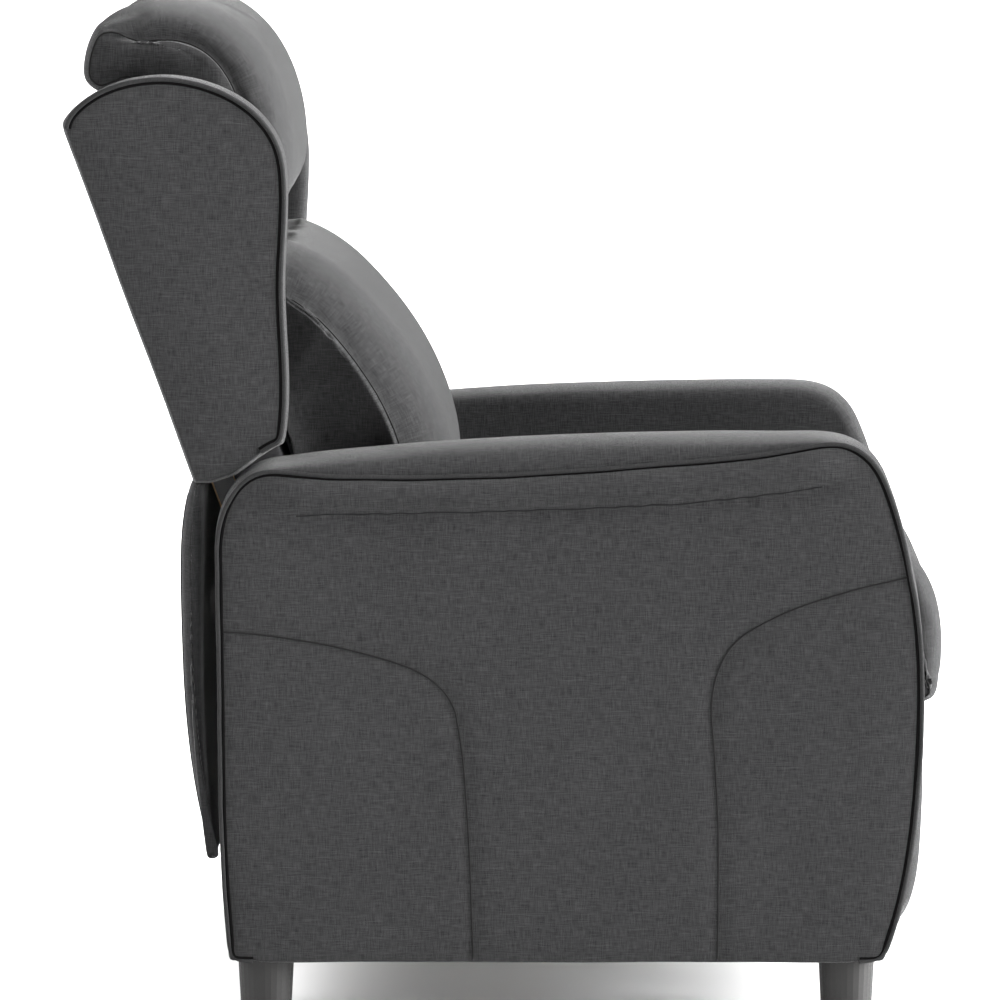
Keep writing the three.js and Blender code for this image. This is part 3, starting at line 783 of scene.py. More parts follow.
def seam_tree():
    """A sewn seam: a thin near-black line that paints the shade in the sunken groove, with short stitches
    laid along it.
    """
    sizes = {"Shade line radius": 0.0008, "Thread radius": 0.0005, "Stitch length": 0.004, "Stitch gap": 0.0016}
    sizes["Seed"] = 5
    tree, given, out = line_tree("Sewn seam", sizes, "Fold", "Thread")
    line = {"Curve": given["Line"], "Length": 0.004}
    path = node(tree, "GeometryNodeResampleCurve", line, mode="LENGTH").outputs[0]
    # The thin near-black line is painted shade where the cover sinks into the seam
    ring = node(tree, "GeometryNodeCurvePrimitiveCircle", {"Resolution": 6, "Radius": 1.0}).outputs[0]
    section = {"Curve": path, "Profile Curve": ring, "Scale": given["Shade line radius"], "Fill Caps": True}
    fold = node(tree, "GeometryNodeCurveToMesh", section).outputs[0]
    fold = through(tree, "SetMaterial", fold, Material=given["Fold"])
    line["Length"] = calc(tree, "ADD", given["Stitch length"], given["Stitch gap"])
    spots = node(tree, "GeometryNodeCurveToPoints", line, mode="LENGTH").outputs
    stitch = node(tree, "GeometryNodeMeshUVSphere", {"Segments": 6, "Rings": 4, "Radius": 1.0}).outputs[0]
    long = calc(tree, "MULTIPLY", given["Stitch length"], 0.5)
    values = {"X": given["Thread radius"], "Y": given["Thread radius"], "Z": long}
    size = node(tree, "ShaderNodeCombineXYZ", values).outputs[0]
    values = {0: (-0.06, -0.06, 0.0), 1: (0.06, 0.06, 0.0), "Seed": given["Seed"]}
    jitter = node(tree, "FunctionNodeRandomValue", values, data_type="FLOAT_VECTOR").outputs[0]
    values = {"Instance": stitch, "Rotation": spots["Rotation"], "Scale": size}
    laid = through(tree, "InstanceOnPoints", spots["Points"], **values)
    laid = through(tree, "RotateInstances", laid, Rotation=jitter)
    laid = through(tree, "SetMaterial", through(tree, "RealizeInstances", laid), Material=given["Thread"])
    both = tree.nodes.new("GeometryNodeJoinGeometry")
    tree.links.new(fold, both.inputs[0])
    tree.links.new(laid, both.inputs[0])
    tree.links.new(through(tree, "SetShadeSmooth", both.outputs[0]), out["Mesh"])
    return tree


def rivet_tree():
    """A domed head standing sideways on each point of the line."""
    tree, given, out = line_tree("Rivet heads", {"Head radius": 0.006, "Head height": 0.0025}, "Metal")
    line = {"Curve": given["Line"]}
    spots = node(tree, "GeometryNodeCurveToPoints", line, mode="EVALUATED").outputs["Points"]
    dome = node(tree, "GeometryNodeMeshUVSphere", {"Segments": 14, "Rings": 8, "Radius": 1.0}).outputs[0]
    values = {"X": given["Head height"], "Y": given["Head radius"], "Z": given["Head radius"]}
    size = node(tree, "ShaderNodeCombineXYZ", values).outputs[0]
    heads = through(tree, "InstanceOnPoints", spots, Instance=dome, Scale=size)
    heads = through(tree, "SetShadeSmooth", through(tree, "RealizeInstances", heads))
    tree.links.new(through(tree, "SetMaterial", heads, Material=given["Metal"]), out["Mesh"])
    return tree


# ---------------------------------------------------------------- side views of the soft parts
# (front, height) points in millimetres: under, front, over and rear, as curve() takes them
SIDE_VIEWS = {
    "arm": (
        [(-281, 55), (380, 55)],
        [(380, 55), (404, 110, 420, 200, 420, 329), (420, 419, 401, 500, 377, 552)],
        [(377, 552), (364, 575, 345, 589, 300, 589), (150, 589, -60, 585, -222, 562),
         (-243, 562, -261, 554, -274, 538)],
        [(-274, 538), (-286, 523, -294, 500, -294, 470), (-292, 300), (-292, 200, -289, 120, -281, 55)],
    ),
    "wing": (
        [(-37, 191), (-20, 185), (5, 184), (20, 188, 40, 196, 62, 198)],
        [(62, 198), (93, 253, 102, 314, 126, 369), (142, 406, 163, 451, 163, 479),
         (162, 505, 151, 528, 134, 546)],
        [(134, 546), (118, 564, 96, 578, 75, 586), (37, 599, 6, 598, -24, 584), (-35, 577)],
        [(-35, 577), (-37, 570), (-37, 191)],
    ),
    "lumbar": (
        [(55, 74), (170, 32, 197, 47, 212, 90)],
        [(212, 90), (237, 158, 219, 250, 186, 321), (174, 346, 156, 371, 133, 387)],
        [(133, 387), (55, 409)],
        [(55, 409), (55, 74)],
    ),
    "head": (
        [(55, 417), (122, 402)],
        [(122, 402), (145, 413, 155, 433, 165, 459), (200, 555, 173, 635, 101, 661)],
        [(101, 661), (50, 680, 9, 656, -6, 614)],
        [(-6, 614), (-12, 592, 18, 579, 38, 573), (52, 569, 55, 550, 55, 500), (55, 417)],
    ),
    "seat": (
        [(-172, 362), (376, 362), (380, 306)],
        [(380, 306), (397, 301, 421, 300, 435, 310), (443, 324, 447, 340, 447, 368)],
        [(447, 368), (447, 430, 421, 484, 337, 484), (187, 484, 47, 446, -82, 446), (-158, 446)],
        [(-158, 446), (-168, 446, -172, 442, -172, 432), (-172, 362)],
    ),
    "footrest": (
        [(388, 66), (400, 67)],
        [(400, 67), (408, 70, 414, 84, 418, 108), (427, 146, 427, 238, 427, 280)],
        [(427, 280), (427, 294, 420, 298, 410, 298), (388, 298)],
        [(388, 298), (388, 66)],
    ),
    "foam": (
        [(-2, 63), (54, 63)],
        [(54, 63), (54, 560), (54, 568, 50, 570, 44, 570)],
        [(44, 570), (-2, 570)],
        [(-2, 570), (-2, 63)],
    ),
    "back": (
        [(-38, 193), (-29, 193)],
        [(-29, 193), (-29, 574)],
        [(-29, 574), (-38, 574)],
        [(-38, 574), (-38, 193)],
    ),
    "lip": (
        [(-36, 571), (52, 571)],
        [(52, 571), (52, 576)],
        [(52, 576), (-36, 576)],
        [(-36, 576), (-36, 571)],
    ),
    "flap": (
        [(-298, 156), (-294, 156)],
        [(-294, 156), (-304, 255, -305, 320, -305, 420), (-305, 470, -305, 510, -304, 537)],
        [(-304, 537), (-317, 540)],
        [(-317, 540), (-327, 510, -329, 470, -329, 420), (-329, 320, -325, 250, -298, 156)],
    ),
}
LEANING = ("wing", "lumbar", "head", "foam", "back", "lip")  # these are drawn along the leaning back


def side_view(name, cell):
    """The outline of a soft part."""
    place = leaning if name in LEANING else None
    return Outline(*[curve(*side, place=place) for side in SIDE_VIEWS[name]], cell)


def box_outline(rear, front, low, high, cell):
    corners = np.array([(rear, low), (front, low), (front, high), (rear, high)])
    return Outline(*[corners[[i, (i + 1) % 4]] for i in range(4)], cell)


REAR_SEAM = [(-288, 391), (-245, 388), (-150, 371), (-82, 347), (-56, 320), (-47, 282), (-39, 190), (-34, 59)]
FRONT_SEAM = [
    (409, 448), (345, 433), (275, 409), (228, 380), (211, 350), (205, 318), (208, 270), (212, 190), (212, 59),
]
ROLL_CREASE = [(-225, 508), (0, 513), (130, 518), (213, 524), (322, 538)]


# ---------------------------------------------------------------- shaping covers
def distance_to_spots(points, spots):
    """Distance of each point to the nearest of the spots."""
    tree = KDTree(len(spots))
    for i, spot in enumerate(spots):
        tree.insert(Vector(spot), i)
    tree.balance()
    return np.array([tree.find(Vector(p))[2] for p in points])


def crease(piece, lines, depth, width):
    """Pulls a cover in along sewn lines."""
    spots = [p for line in lines for p in resample(line, max(2, int(Outline.length(line) / 0.002)))]
    co, normals = coordinates(piece), vertex_normals(piece)
    away = distance_to_spots(co, spots)
    set_coordinates(piece, co - normals * (depth * np.exp(-((away / width) ** 2)))[:, None])


def unevenness(piece, depth, scale, seed):
    """Gives a cover the faint waves of real upholstery."""
    co, normals = coordinates(piece), vertex_normals(piece)
    waves = ripple(co[:, 0] * scale, co[:, 1] * scale, co[:, 2] * scale, seed=seed)
    set_coordinates(piece, co + normals * (waves * depth)[:, None])


def cushion(name, outline, half, corner, cell, support, most, bulge=0.012, slim=0.007, seed=1):
    """A stuffed cushion: a band around its outline, an end panel on each side, settled over its filling.

    corner is (sideways, drop) for its ends, and support the (front, height) directions it leans on.
    """
    facing = (outline.normals() @ np.array(support, float).T).max(1)
    free = 1 - ramp(facing, -0.1, 0.7)
    drop = corner[1] * (0.15 + 0.85 * free) + 0.002
    outline.loop = outline.loop - (slim * free)[:, None] * outline.normals()

    def puff(points, end):
        away, _ = distance_to(points, np.vstack([outline.loop, outline.loop[:1]]))
        return bulge * (1 - np.exp(-np.maximum(away - corner[1] * 0.6, 0) / 0.025))

    piece, rims = cover(name, outline, -half, half, (corner[0], drop), (corner[0], drop), cell, puff)
    co, normals = coordinates(piece), vertex_normals(piece)
    toward = (np.column_stack([-normals[:, 1], normals[:, 2]]) @ np.array(support, float).T).max(1)
    held = ramp(toward, 0.3, 0.75)
    from_rim = distance_to_spots(co, np.vstack(list(rims.values())))
    held[from_rim < 1e-4] = 1
    settle(piece, held, most * (0.02 + 0.98 * ramp(from_rim, 0.0, 0.035)))
    subdivide(piece)
    unevenness(piece, 0.0012, 22.0, seed)
    lines = [np.vstack([r, r[:1]]) for r in rims.values()]
    crease(piece, lines, settings("padding").seam_depth * 0.6, 0.008)
    return piece, lines


# ---------------------------------------------------------------- materials, made once
LOOKS = {}


def grey(value):
    return (value, value, value, 1)


def make_looks():
    """Builds every finish of the chair."""
    fabric = settings("fabric")
    weave, wear, grain = weave_group(), wear_group(), grain_group()
    light, dark = (*fabric.light, 1), (*fabric.dark, 1)
    # The piping's cord is a darker copy of the cloth: painted shade on the cord
    shaded_cord_light, shaded_cord_dark = (tuple(share * c for c in fabric.light) + (1,) for share in (0.85, 0.3))
    matt = {"Sheen Weight": 0.0, "Sheen Roughness": 0.25, "Specular IOR Level": 0.12}
    threads = {"Light": light, "Dark": dark, "Pitch": fabric.thread_pitch}
    cord = {**threads, "Light": shaded_cord_light, "Dark": shaded_cord_dark, "Evenness": 0.35}
    lining = {"Light": (0.05, 0.05, 0.052, 1), "Dark": (0.014, 0.014, 0.015, 1)}
    lining.update({"Pitch": 0.0009, "Evenness": 0.3})
    thread = {"Base": (0.028, 0.028, 0.03, 1), "Worn": (0.07, 0.07, 0.072, 1), "Scale": 900.0, "Smooth": 0.6}
    # Near-black colour of the seam lines: painted shade in the seams' grooves
    fold = {"Base": grey(0.0075), "Worn": grey(0.018), "Scale": 600.0, "Smooth": 0.85}
    enamel = {"Base": (0.018, 0.018, 0.019, 1), "Worn": (0.10, 0.095, 0.09, 1), "Scale": 140.0}
    zinc = {"Base": (0.46, 0.47, 0.48, 1), "Worn": grey(0.30), "Scale": 90.0, "Amount": 0.6, "Smooth": 0.3}
    legs = {"Base": (0.010, 0.0097, 0.0094, 1), "Worn": (0.018, 0.0175, 0.017, 1), "Scale": 420.0}
    level = "Specular IOR Level"
    for look, name, group, values, bump, surface in (
        ("cloth", "Charcoal heather", weave, threads, (0.55, 0.0012), {**matt, "Sheen Weight": fabric.sheen}),
        ("piping", "Piping heather", weave, cord, (0.5, 0.001), matt),
        ("lining", "Black lining", weave, lining, (0.3, 0.0006), {level: 0.3}),
        ("thread", "Seam thread", wear, thread, (0.3, 0.0002), {level: 0.1}),
        ("fold", "Seam shade", wear, fold, (0.3, 0.0002), {level: 0.1}),
        # Near-black tubes beside the piping: painted shade in the groove next to the cord
        (
            "piping fold", "Piping shade", wear, {**fold, "Base": grey(0.0025), "Worn": grey(0.006)},
            (0.3, 0.0002), {level: 0.02},
        ),
        ("hardwood", "Planed hardwood", grain, {}, (0.25, 0.0006), {level: 0.35}),
        (
            "black_steel", "Black enamel", wear, {**enamel, "Amount": 0.25, "Smooth": 0.38},
            (0.15, 0.0004), {"Coat Weight": 0.15, "Coat Roughness": 0.3},
        ),
        ("zinc_steel", "Zinc plate", wear, zinc, (0.12, 0.0003), {"Metallic": 1.0}),
        (
            "leg_plastic", "Moulded legs", wear, {**legs, "Amount": 0.35, "Smooth": 0.5},
            (0.35, 0.0004), {level: 0.25},
        ),
    ):
        LOOKS[look] = finish_material(name, group, values, bump, surface)
    LOOKS["piping tree"], LOOKS["seam tree"], LOOKS["rivet tree"] = piping_tree(), seam_tree(), rivet_tree()


def sew(name, lines, body, closed=False):
    """Sews seams along lines that already lie on a cover, each with a near-black line of painted shade under
    its stitches.
    """
    trim = settings("trim")
    values = {
        "Shade line radius": 0.0009,
        "Thread radius": trim.thread_radius,
        "Stitch length": trim.stitch_length,
        "Stitch gap": trim.stitch_gap,
        "Seed": 5,
        "Fold": LOOKS["fold"],
        "Thread": LOOKS["thread"],
    }
    seam = grow(name, lines, LOOKS["seam tree"], values, closed)
    return finish_piece(seam, body, "upholstery")


def stitch(name, piece, lines, body):
    """Sews the seams of a stuffed cover."""
    surface = surface_of(piece)
    sew(name, [lay_on(surface, line) for line in lines], body)


def panel(name, outline, half, band, cell):
    """A plain covered panel, the same at both ends."""
    piece, _ = cover(name, outline, -half, half, band, band, cell)
    subdivide(piece)
    return piece


def pipe(name, piece, path, body):
    """Runs covered piping along a path on a finished cover, with a near-black tube beside it that paints the
    shade in the groove it is sewn into.
    """
    trim = settings("trim")
    surface = surface_of(piece)
    path = np.array([tuple(p) for p in path])
    along = np.gradient(path, axis=0)
    inward = np.column_stack([0 * along[:, 0], -along[:, 2], along[:, 1]])
    inward /= np.linalg.norm(inward, axis=1)[:, None]
    if np.sum(inward * (path.mean(axis=0) - path)) < 0:
        inward = -inward
    # Path of the near-black tube beside the cord: painted shade in the groove that the piping is sewn into
    fold = path + inward * trim.piping_radius * 1.4
    for label, line, radius, lift, look in (
        ("", path, trim.piping_radius, 0.55, "piping"),
        ("_fold", fold, trim.piping_radius * 0.85, -0.3, "piping fold"),
    ):
        laid = np.array(lay_on(surface, line, radius * lift))
        for _ in range(3):
            laid[1:-1] = 0.25 * laid[:-2] + 0.5 * laid[1:-1] + 0.25 * laid[2:]
        values = {"Radius": radius, "Spacing": 0.003, "Unevenness": 0.14, "Seed": 3, "Cloth": LOOKS[look]}
        finish_piece(grow(name + label, [laid], LOOKS["piping tree"], values), body, "upholstery")


# ---------------------------------------------------------------- operators
class ARMCHAIR_OT_finishes(bpy.types.Operator):
    """Build every finish, and put the hard ones on the frame's wood, steel and plastic"""

    bl_idname = "armchair.finishes"
    bl_label = "Finishes"

    def execute(self, context):
        make_looks()
        for made in frame["nodes"].values():
            for slot in made.material_slots:
                look = slot.material.name.split(".")[0]
                if look in LOOKS:
                    slot.material = LOOKS[look]
        return {"FINISHED"}


class ARMCHAIR_OT_arms(bpy.types.Operator):
    """Cover both arms: crowned top, padded roll along the outside, two shaped seams and piping"""

    bl_idname = "armchair.arms"
    bl_label = "Arms"

    def execute(self, context):
        outline = side_view("arm", 0.0085)
        loop = outline.loop
        crown = np.interp(
            loop[:, 0],
            [-0.262, -0.24, -0.177, -0.10, -0.007, 0.093, 0.193, 0.253, 0.293, 0.338],
            [0.0, 0.003, 0.018, 0.026, 0.030, 0.028, 0.022, 0.017, 0.010, 0.0],
        ) * (loop[:, 1] > 0.5)
        seams = [smooth_path(np.array(s) / 1000, 90) for s in (REAR_SEAM, FRONT_SEAM)]
        roll = smooth_path(np.array(ROLL_CREASE) / 1000, 80)
        for name, sign in SIDES.items():
            piece = self.arm(name, sign, outline, crown, seams, roll)
            surface = surface_of(piece)
            lines = [press_on(surface, s, sign, 0.0002) for s in seams]
            # The roll crease is sewn like a seam: its near-black line paints the shade in the crease
            tuck = roll[(roll[:, 0] > -0.215) & (roll[:, 0] < 0.318)]
            wave = 0.0006 * np.sin(tuck[:, 0] * 170 + 2 * np.sin(tuck[:, 0] * 53))
            tuck = tuck + np.column_stack([np.zeros(len(wave)), wave])
            lines.append(press_on(surface, tuck, sign, -0.0003))
            sew("arm_seams_" + name, lines, "base")
        return {"FINISHED"}

    def arm(self, name, sign, outline, crown, seams, roll):
        low_edge = outline.loop[:, 1] < ARM_FOOT + 0.004
        outer = (0.040, crown + np.where(low_edge, 0.001, 0.0035))
        inner = (0.030, np.where(low_edge, 0.002, 0.016))
        n = outline.across
        normals = outline.normals()
        rim_line = outline.loop - outer[1][:, None] * normals
        rim_line = np.vstack([rim_line, rim_line[:1]])

        def bulge(points, end):
            if end != sign:
                return np.full(len(points), 0.0)
            away, _ = distance_to(points, rim_line)
            out = 0.0035 * (1 - np.exp(-away / 0.02))
            height = np.interp(points[:, 0], roll[:, 0], roll[:, 1])
            above = points[:, 1] - height
            inside = ramp(points[:, 0], -0.262, -0.205) * (1 - ramp(points[:, 0], 0.30, 0.355))
            swell = np.clip(above / np.interp(points[:, 0], [-0.2, 0.35], [0.038, 0.044]), 0, 1)
            out = out + inside * 0.0095 * np.sin(np.pi * swell) ** 0.7
            out = out - inside * 0.0045 * np.exp(-((above / 0.0065) ** 2))
            pucker = np.sin(points[:, 0] * 330 + 2.4 * np.sin(points[:, 0] * 61) + sign)
            out = out + inside * 0.0013 * pucker * np.exp(-np.abs(above) / 0.016)
            for k, seam in enumerate(seams):
                near, share = distance_to(points, seam)
                out = out - 0.0026 * np.exp(-((near / 0.007) ** 2))
                pull = np.sin(share * 95 + 1.7 * np.sin(share * 23) + k)
                out = out + 0.0005 * pull * np.exp(-near / 0.014)
            tuck = np.hypot(points[:, 0] - 0.205, points[:, 1] - 0.325)
            out = out - 0.0022 * np.exp(-((tuck / 0.016) ** 2))
            out = out + 0.0011 * ripple(points[:, 0] * 26, points[:, 1] * 20, seed=4 + sign)
            return out

        low, high = (-ARM_OUTER, -ARM_INNER) if sign < 0 else (ARM_INNER, ARM_OUTER)
        corners = (outer, inner) if sign < 0 else (inner, outer)
        piece, rims = cover("arm_cover_" + name, outline, low, high, *corners, 0.0085, bulge)
        subdivide(piece)
        unevenness(piece, 0.0008, 30.0, 7 + sign)
        rim = rims[sign]
        path = np.vstack([rim[n - 3 :], rim[:4]])
        crease(piece, [path], 0.0015, 0.007)
        upholster(piece, "base", "arm_pad_" + name, "outside_arm_panel_" + name, fill=0.7)
        pipe("arm_piping_" + name, piece, path, "base")
        return piece


class ARMCHAIR_OT_wings(bpy.types.Operator):
    """Cover both wings, with piping along their top and front edges"""

    bl_idname = "armchair.wings"
    bl_label = "Wings"

    def execute(self, context):
        outline = side_view("wing", 0.007)
        normals, n = outline.normals(), outline.across
        back = np.array([-math.cos(LEAN), -math.sin(LEAN)])
        rearward = ramp(normals @ back, 0.2, 0.9)
        under = ramp(-normals[:, 1], 0.5, 0.9)
        drop = 0.003 + 0.002 * np.maximum(rearward, under)
        rim_line = outline.loop - drop[:, None] * normals
        rim_line = np.vstack([rim_line, rim_line[:1]])
        for name, sign in SIDES.items():

            def bulge(points, end):
                away, _ = distance_to(points, rim_line)
                out = (0.0055 if end == sign else 0.002) * (1 - np.exp(-away / 0.03))
                return out + 0.0009 * ripple(points[:, 0] * 24, points[:, 1] * 17, seed=9 + sign)

            low, high = (-WING_OUTER, -WING_INNER) if sign < 0 else (WING_INNER, WING_OUTER)
            outer, inner = (0.022, drop), (0.014, 0.009)
            corners = (outer, inner) if sign < 0 else (inner, outer)
            piece, rims = cover("wing_cover_" + name, outline, low, high, *corners, 0.007, bulge)
            subdivide(piece)
            unevenness(piece, 0.0007, 28.0, 11 + sign)
            last = n + outline.up + outline.across + 2
            path = rims[sign][n - 6 : last]
            crease(piece, [path], 0.001, 0.006)
            upholster(piece, "back", "wing_" + name, fill=0.6)
            pipe("wing_piping_" + name, piece, path, "back")
        return {"FINISHED"}


class ARMCHAIR_OT_head_pillow(bpy.types.Operator):
    """Stuff the head pillow that stands above and between the wings"""

    bl_idname = "armchair.head_pillow"
    bl_label = "Head pillow"

    def execute(self, context):
        piece, lines = cushion(
            "head_pillow", side_view("head", 0.009), HEAD_HALF - 0.006, (0.075, 0.036), 0.009,
            [(-0.94, -0.34)], 0.013, seed=21,
        )
        upholster(piece, "back", "head_cushion", fill=0.8)
        stitch("head_pillow_seams", piece, lines, "back")
        return {"FINISHED"}


class ARMCHAIR_OT_lumbar_pillow(bpy.types.Operator):
    """Stuff the lumbar cushion between the wings"""

    bl_idname = "armchair.lumbar_pillow"
    bl_label = "Lumbar cushion"

    def execute(self, context):
        piece, lines = cushion(
            "lumbar_pillow", side_view("lumbar", 0.009), SEAT_HALF - 0.002, (0.075, 0.05), 0.009,
            [(-0.94, -0.34)], 0.015, seed=31,
        )
        upholster(piece, "back", "lumbar_cushion", fill=0.8)
        stitch("lumbar_pillow_seams", piece, lines, "back")
        return {"FINISHED"}


class ARMCHAIR_OT_seat_pad(bpy.types.Operator):
    """Stuff the seat with its rolled front"""

    bl_idname = "armchair.seat_pad"
    bl_label = "Seat"

    def execute(self, context):
        piece, lines = cushion(
            "seat_pad", side_view("seat", 0.010), SEAT_HALF - 0.003, (0.055, 0.022), 0.010,
            [(0, -1), (-1, 0)], 0.016, bulge=0.002, seed=41,
        )
        upholster(piece, "seat", "seat_cushion", fill=0.7)
        stitch("seat_pad_seams", piece, lines, "seat")
        return {"FINISHED"}


class ARMCHAIR_OT_footrest_cover(bpy.types.Operator):
    """Stuff the footrest that folds below the seat"""

    bl_idname = "armchair.footrest_cover"
    bl_label = "Footrest"

    def execute(self, context):
        half = edge("footrest_pad", 1, 0)
        piece, lines = cushion(
            "footrest_cover", side_view("footrest", 0.008), half - 0.002, (0.03, 0.012), 0.008,
            [(-1, 0)], 0.006, bulge=0.003, seed=51,
        )
        upholster(piece, "footrest", "footrest_pad", fill=0.5)
        lo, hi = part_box("footrest_board")
        outline = box_outline(-hi[1] - 0.0006, -lo[1] + 0.0004, lo[2] - 0.0006, hi[2] + 0.0006, 0.008)
        under = panel("footrest_underlay", outline, hi[0], (0.002, 0.0008), 0.008)
        finish_piece(under, "footrest", "lining", "footrest_board", material=LOOKS["lining"], fill=0.2)
        stitch("footrest_seams", piece, lines, "footrest")
        return {"FINISHED"}


class ARMCHAIR_OT_back(bpy.types.Operator):
    """Cover the back: lining over the foam, the outside back, and the flap that hangs down to the base"""

    bl_idname = "armchair.back"
    bl_label = "Back"

    def execute(self, context):
        half = edge("back_foam", 1, 0)
        foam = panel("back_lining", side_view("foam", 0.02), half, (0.01, 0.004), 0.02)
        finish_piece(foam, "back", "lining", "back_foam", material=LOOKS["lining"], fill=0.5)

        half = WING_INNER + 0.002
        piece = panel("back_cover", side_view("back", 0.012), half, (0.006, 0.003), 0.012)
        self.pillow(piece, half, leaning(-0.038, 0.197), leaning(-0.038, 0.574), 0.004, 61)
        lines = self.hems(half - 0.012, -0.038, (0.209, 0.562))
        surface = surface_of(piece)
        lines = [[tuple(p) for p in lay_on(surface, line, 0.0002)] for line in lines]
        upholster(piece, "back", "outside_back_panel", fill=0.3)
        sew("back_cover_seams", lines, "back")

        half = WING_INNER - 0.001
        piece = panel("back_top_lip", side_view("lip", 0.012), half, (0.003, 0.001), 0.012)
        upholster(piece, "back", fill=0.2)

        lo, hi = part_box("base_rear_rail")
        outline = box_outline(-hi[1] - 0.002, -lo[1] + 0.002, lo[2] - 0.004, hi[2] + 0.002, 0.01)
        piece = panel("rear_rail_cover", outline, hi[0], (0.002, 0.001), 0.01)
        unevenness(piece, 0.0008, 30.0, 81)
        upholster(piece, "base", "base_rear_rail", fill=0.2)

        half = edge("rear_flap", 1, 0)
        piece = panel("rear_flap_cover", side_view("flap", 0.012), half, (0.014, 0.009), 0.012)
        unevenness(piece, 0.0016, 20.0, 71)
        surface = surface_of(piece)
        inset = half - 0.010
        low, high = FLAP_FOOT + 0.012, edge("rear_flap", 1, 2) - 0.014
        run = [(-inset, z) for z in np.linspace(high, low, 60)]
        run += [(x, low) for x in np.linspace(-inset, inset, 90)]
        run += [(inset, z) for z in np.linspace(low, high, 60)]
        hem = [surface.ray_cast(Vector((x, 1.0, z)), Vector((0, -1, 0)))[0] for x, z in run]
        hem = [p + Vector((0, 0.0002, 0)) for p in hem if p is not None]
        bend = ("base", "back", (0, -side_view("flap", 0.05).rear[-1][0], 0.24), (0, 0.317, 0.535))
        upholster(piece, bend, "rear_flap", fill=0.1)
        sew("rear_flap_seams", [hem], bend)
        return {"FINISHED"}

    def pillow(self, piece, half, low, high, rise, seed):
        """Lets a thin panel stand out a little in its middle."""
        co = coordinates(piece)
        low, high = np.array(low), np.array(high)
        up = (high - low) / np.linalg.norm(high - low)
        at = np.column_stack([-co[:, 1], co[:, 2]]) - low
        v = np.clip(at @ up / np.linalg.norm(high - low), 0, 1)
        behind = ramp(-(at @ np.array([up[1], -up[0]])), -0.004, -0.001)
        x = np.clip(np.abs(co[:, 0]) / half, 0, 1)
        out = rise * (1 - x**6) * (1 - np.abs(2 * v - 1) ** 6) * behind
        out = out + 0.0008 * ripple(co[:, 0] * 24, co[:, 2] * 18, seed=seed) * behind
        co[:, 1] += out * up[1]
        co[:, 2] += out * up[0]
        set_coordinates(piece, co)

    def hems(self, half, forward, heights):
        """The topstitched frame of the outside back, and its middle seam."""
        low, high = heights
        rows = [(-half, low), (half, low), (half, high), (-half, high), (-half, low)]
        frame_line = resample([(x, *leaning(forward, v)) for x, v in rows], 400)
        middle = resample([(0.0, *leaning(forward, v)) for v in (low, high)], 90)
        return [[(x, -f, z) for x, f, z in line] for line in (frame_line, middle)]


class ARMCHAIR_OT_rivets(bpy.types.Operator):
    """Set the rivet heads on the reclining mechanism's plates"""

    bl_idname = "armchair.rivets"
    bl_label = "Rivets"

    def execute(self, context):
        for body, node_name, count in (
            ("seat", "seat_side_plate_", 5),
            ("base", "pivot_plate_", 3),
            ("footrest", "footrest_bracket_", 3),
            ("back", "back_bracket_", 3),
        ):
            spots = []
            for name, sign in SIDES.items():
                spots += self.heads(frame["nodes"][node_name + name], sign, count)
            values = {"Head radius": 0.0055, "Head height": 0.0022, "Metal": LOOKS["zinc_steel"]}
            made = grow("rivets_" + body, [spots], LOOKS["rivet tree"], values)
            finish_piece(made, body, "zinc_steel")
        return {"FINISHED"}

    def heads(self, plate, sign, count):
        """Points spread over a plate's inner face, kept where the plate is solid."""
        surface = surface_of(plate)
        lo, hi = (np.array(c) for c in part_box(plate.name))
        found = []
        rows, columns = (np.linspace(lo[k], hi[k], 25)[1:-1] for k in (2, 1))
        for y, z in ((y, z) for z in rows for y in columns):
            hits = [
                surface.ray_cast(Vector((0, y + dy, z + dz)), Vector((sign, 0, 0)))[0]
                for dy, dz in ((0, 0), (0.009, 0), (-0.009, 0), (0, 0.009), (0, -0.009))
            ]
            if all(h is not None and abs(abs(h.x) - abs(hits[0].x)) < 1e-4 for h in hits):
                found.append(hits[0])
        picked = [min(found, key=lambda p: p.y + p.z)]
        while len(picked) < count:
            picked.append(max(found, key=lambda p: min((p - q).length for q in picked)))
        return [p - Vector((sign * 0.0001, 0, 0)) for p in picked]


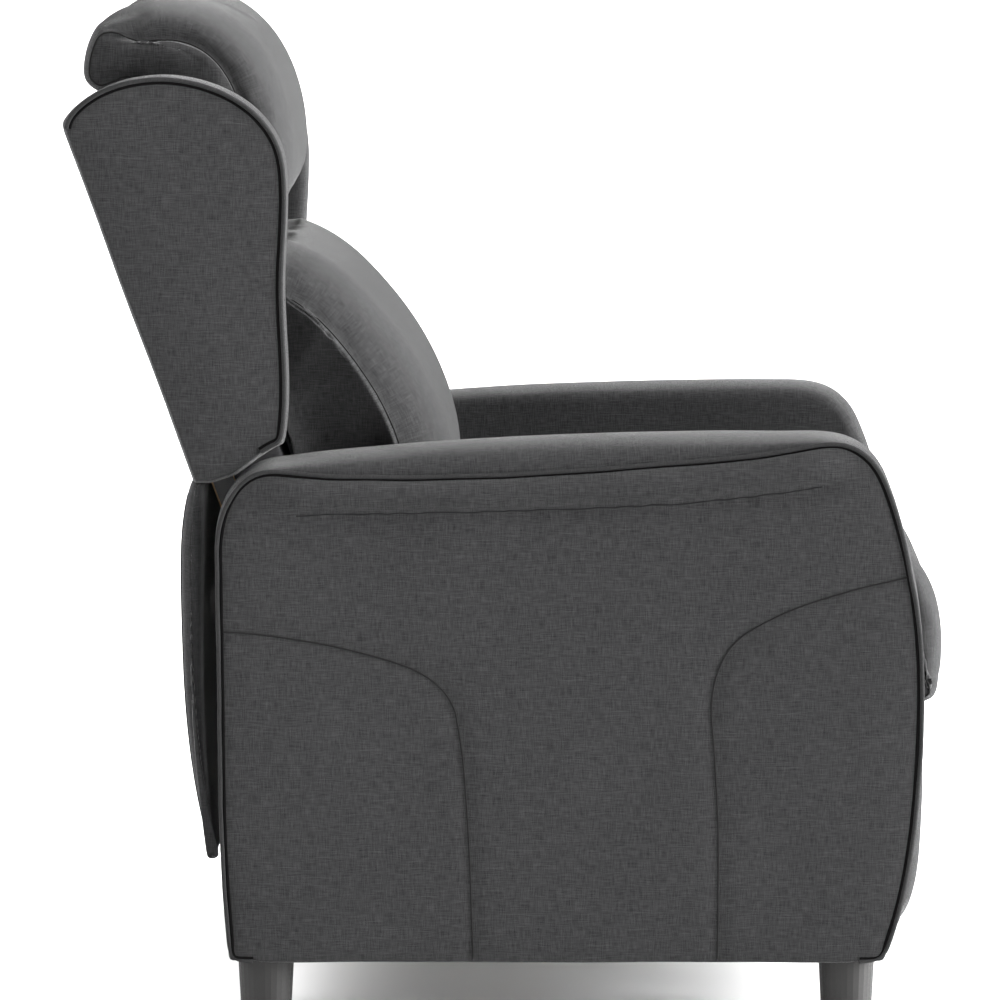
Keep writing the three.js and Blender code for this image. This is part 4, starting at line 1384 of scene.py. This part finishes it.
class ARMCHAIR_OT_stage(bpy.types.Operator):
    """Set the floor, the soft studio light and the camera"""

    bl_idname = "armchair.stage"
    bl_label = "Stage"

    def execute(self, context):
        self.floor()
        self.lights(context.scene)
        self.camera(context.scene)
        return {"FINISHED"}

    def floor(self):
        ring = [(40 * math.cos(a), 40 * math.sin(a), 0.0) for a in np.linspace(0, 2 * math.pi, 65)[:-1]]
        made = mesh_object("studio_floor", ring, [range(64)])
        material = bpy.data.materials.new("Pale floor")
        material.use_nodes = True
        shader = material.node_tree.nodes["Principled BSDF"]
        shader.inputs["Base Color"].default_value = (0.93, 0.93, 0.93, 1)
        shader.inputs["Roughness"].default_value = 0.9
        made.data.materials.append(material)

    def lights(self, scene):
        world = bpy.data.worlds.new("Soft box")
        world.use_nodes = True
        world.node_tree.nodes["Background"].inputs["Color"].default_value = (1, 1, 1, 1)
        world.node_tree.nodes["Background"].inputs["Strength"].default_value = 0.5
        scene.world = world
        for name, strength, softness, turn, lift in (("key", 25.0, 50, 0, 14), ("rim", 4.5, 50, -172, 36)):
            light = bpy.data.lights.new(name, "SUN")
            light.energy = strength
            light.angle = math.radians(softness)
            made = bpy.data.objects.new(name, light)
            made.rotation_euler = (math.radians(90 - lift), 0, math.radians(turn))
            scene.collection.objects.link(made)
        soft = bpy.data.lights.new("front soft box", "AREA")
        soft.energy, soft.size = 30, 2.0
        made = bpy.data.objects.new("front soft box", soft)
        made.location = (-3.0, -2.6, 2.6)
        made.rotation_euler = (Vector((-0.3, -0.3, 0.6)) - made.location).to_track_quat("-Z", "Y").to_euler()
        scene.collection.objects.link(made)
        scene.view_settings.view_transform = "Standard"

    def camera(self, scene):
        stage = settings("stage")
        data = bpy.data.cameras.new("camera")
        data.lens, data.sensor_width = LENS, FILM
        data.clip_end = FARTHEST
        made = bpy.data.objects.new("camera", data)
        target = Vector((-ARM_OUTER, 0.007, 0.524))
        away = Vector((-math.cos(stage.elevation), -0.0074, math.sin(stage.elevation)))
        made.location = target + away * stage.distance
        made.rotation_euler = (target - made.location).to_track_quat("-Z", "Y").to_euler()
        scene.collection.objects.link(made)
        scene.camera = made


STEPS = (
    ARMCHAIR_OT_finishes,
    ARMCHAIR_OT_arms,
    ARMCHAIR_OT_wings,
    ARMCHAIR_OT_head_pillow,
    ARMCHAIR_OT_lumbar_pillow,
    ARMCHAIR_OT_seat_pad,
    ARMCHAIR_OT_footrest_cover,
    ARMCHAIR_OT_back,
    ARMCHAIR_OT_rivets,
    ARMCHAIR_OT_stage,
)


class ARMCHAIR_PT_panel(bpy.types.Panel):
    """Lists the steps that build the armchair and its settings"""

    bl_idname = "ARMCHAIR_PT_panel"
    bl_label = "Recliner Armchair"
    bl_space_type = "VIEW_3D"
    bl_region_type = "UI"
    bl_category = "Armchair"

    def draw(self, context):
        for name, group in GROUPS.items():
            box = self.layout.box()
            box.label(text=group.__doc__)
            for prop in group.__annotations__:
                box.prop(getattr(context.scene, name), prop)
        for step in STEPS:
            self.layout.operator(step.bl_idname)


CLASSES = (*GROUPS.values(), *STEPS, ARMCHAIR_PT_panel)


def register():
    for made in CLASSES:
        bpy.utils.register_class(made)
    for name, group in GROUPS.items():
        setattr(bpy.types.Scene, name, PointerProperty(type=group))


def unregister():
    for name in GROUPS:
        delattr(bpy.types.Scene, name)
    for made in reversed(CLASSES):
        bpy.utils.unregister_class(made)


def main():
    register()
    for step in STEPS:
        family, name = step.bl_idname.split(".")
        getattr(getattr(bpy.ops, family), name)()


if __name__ == "__main__":
    main()
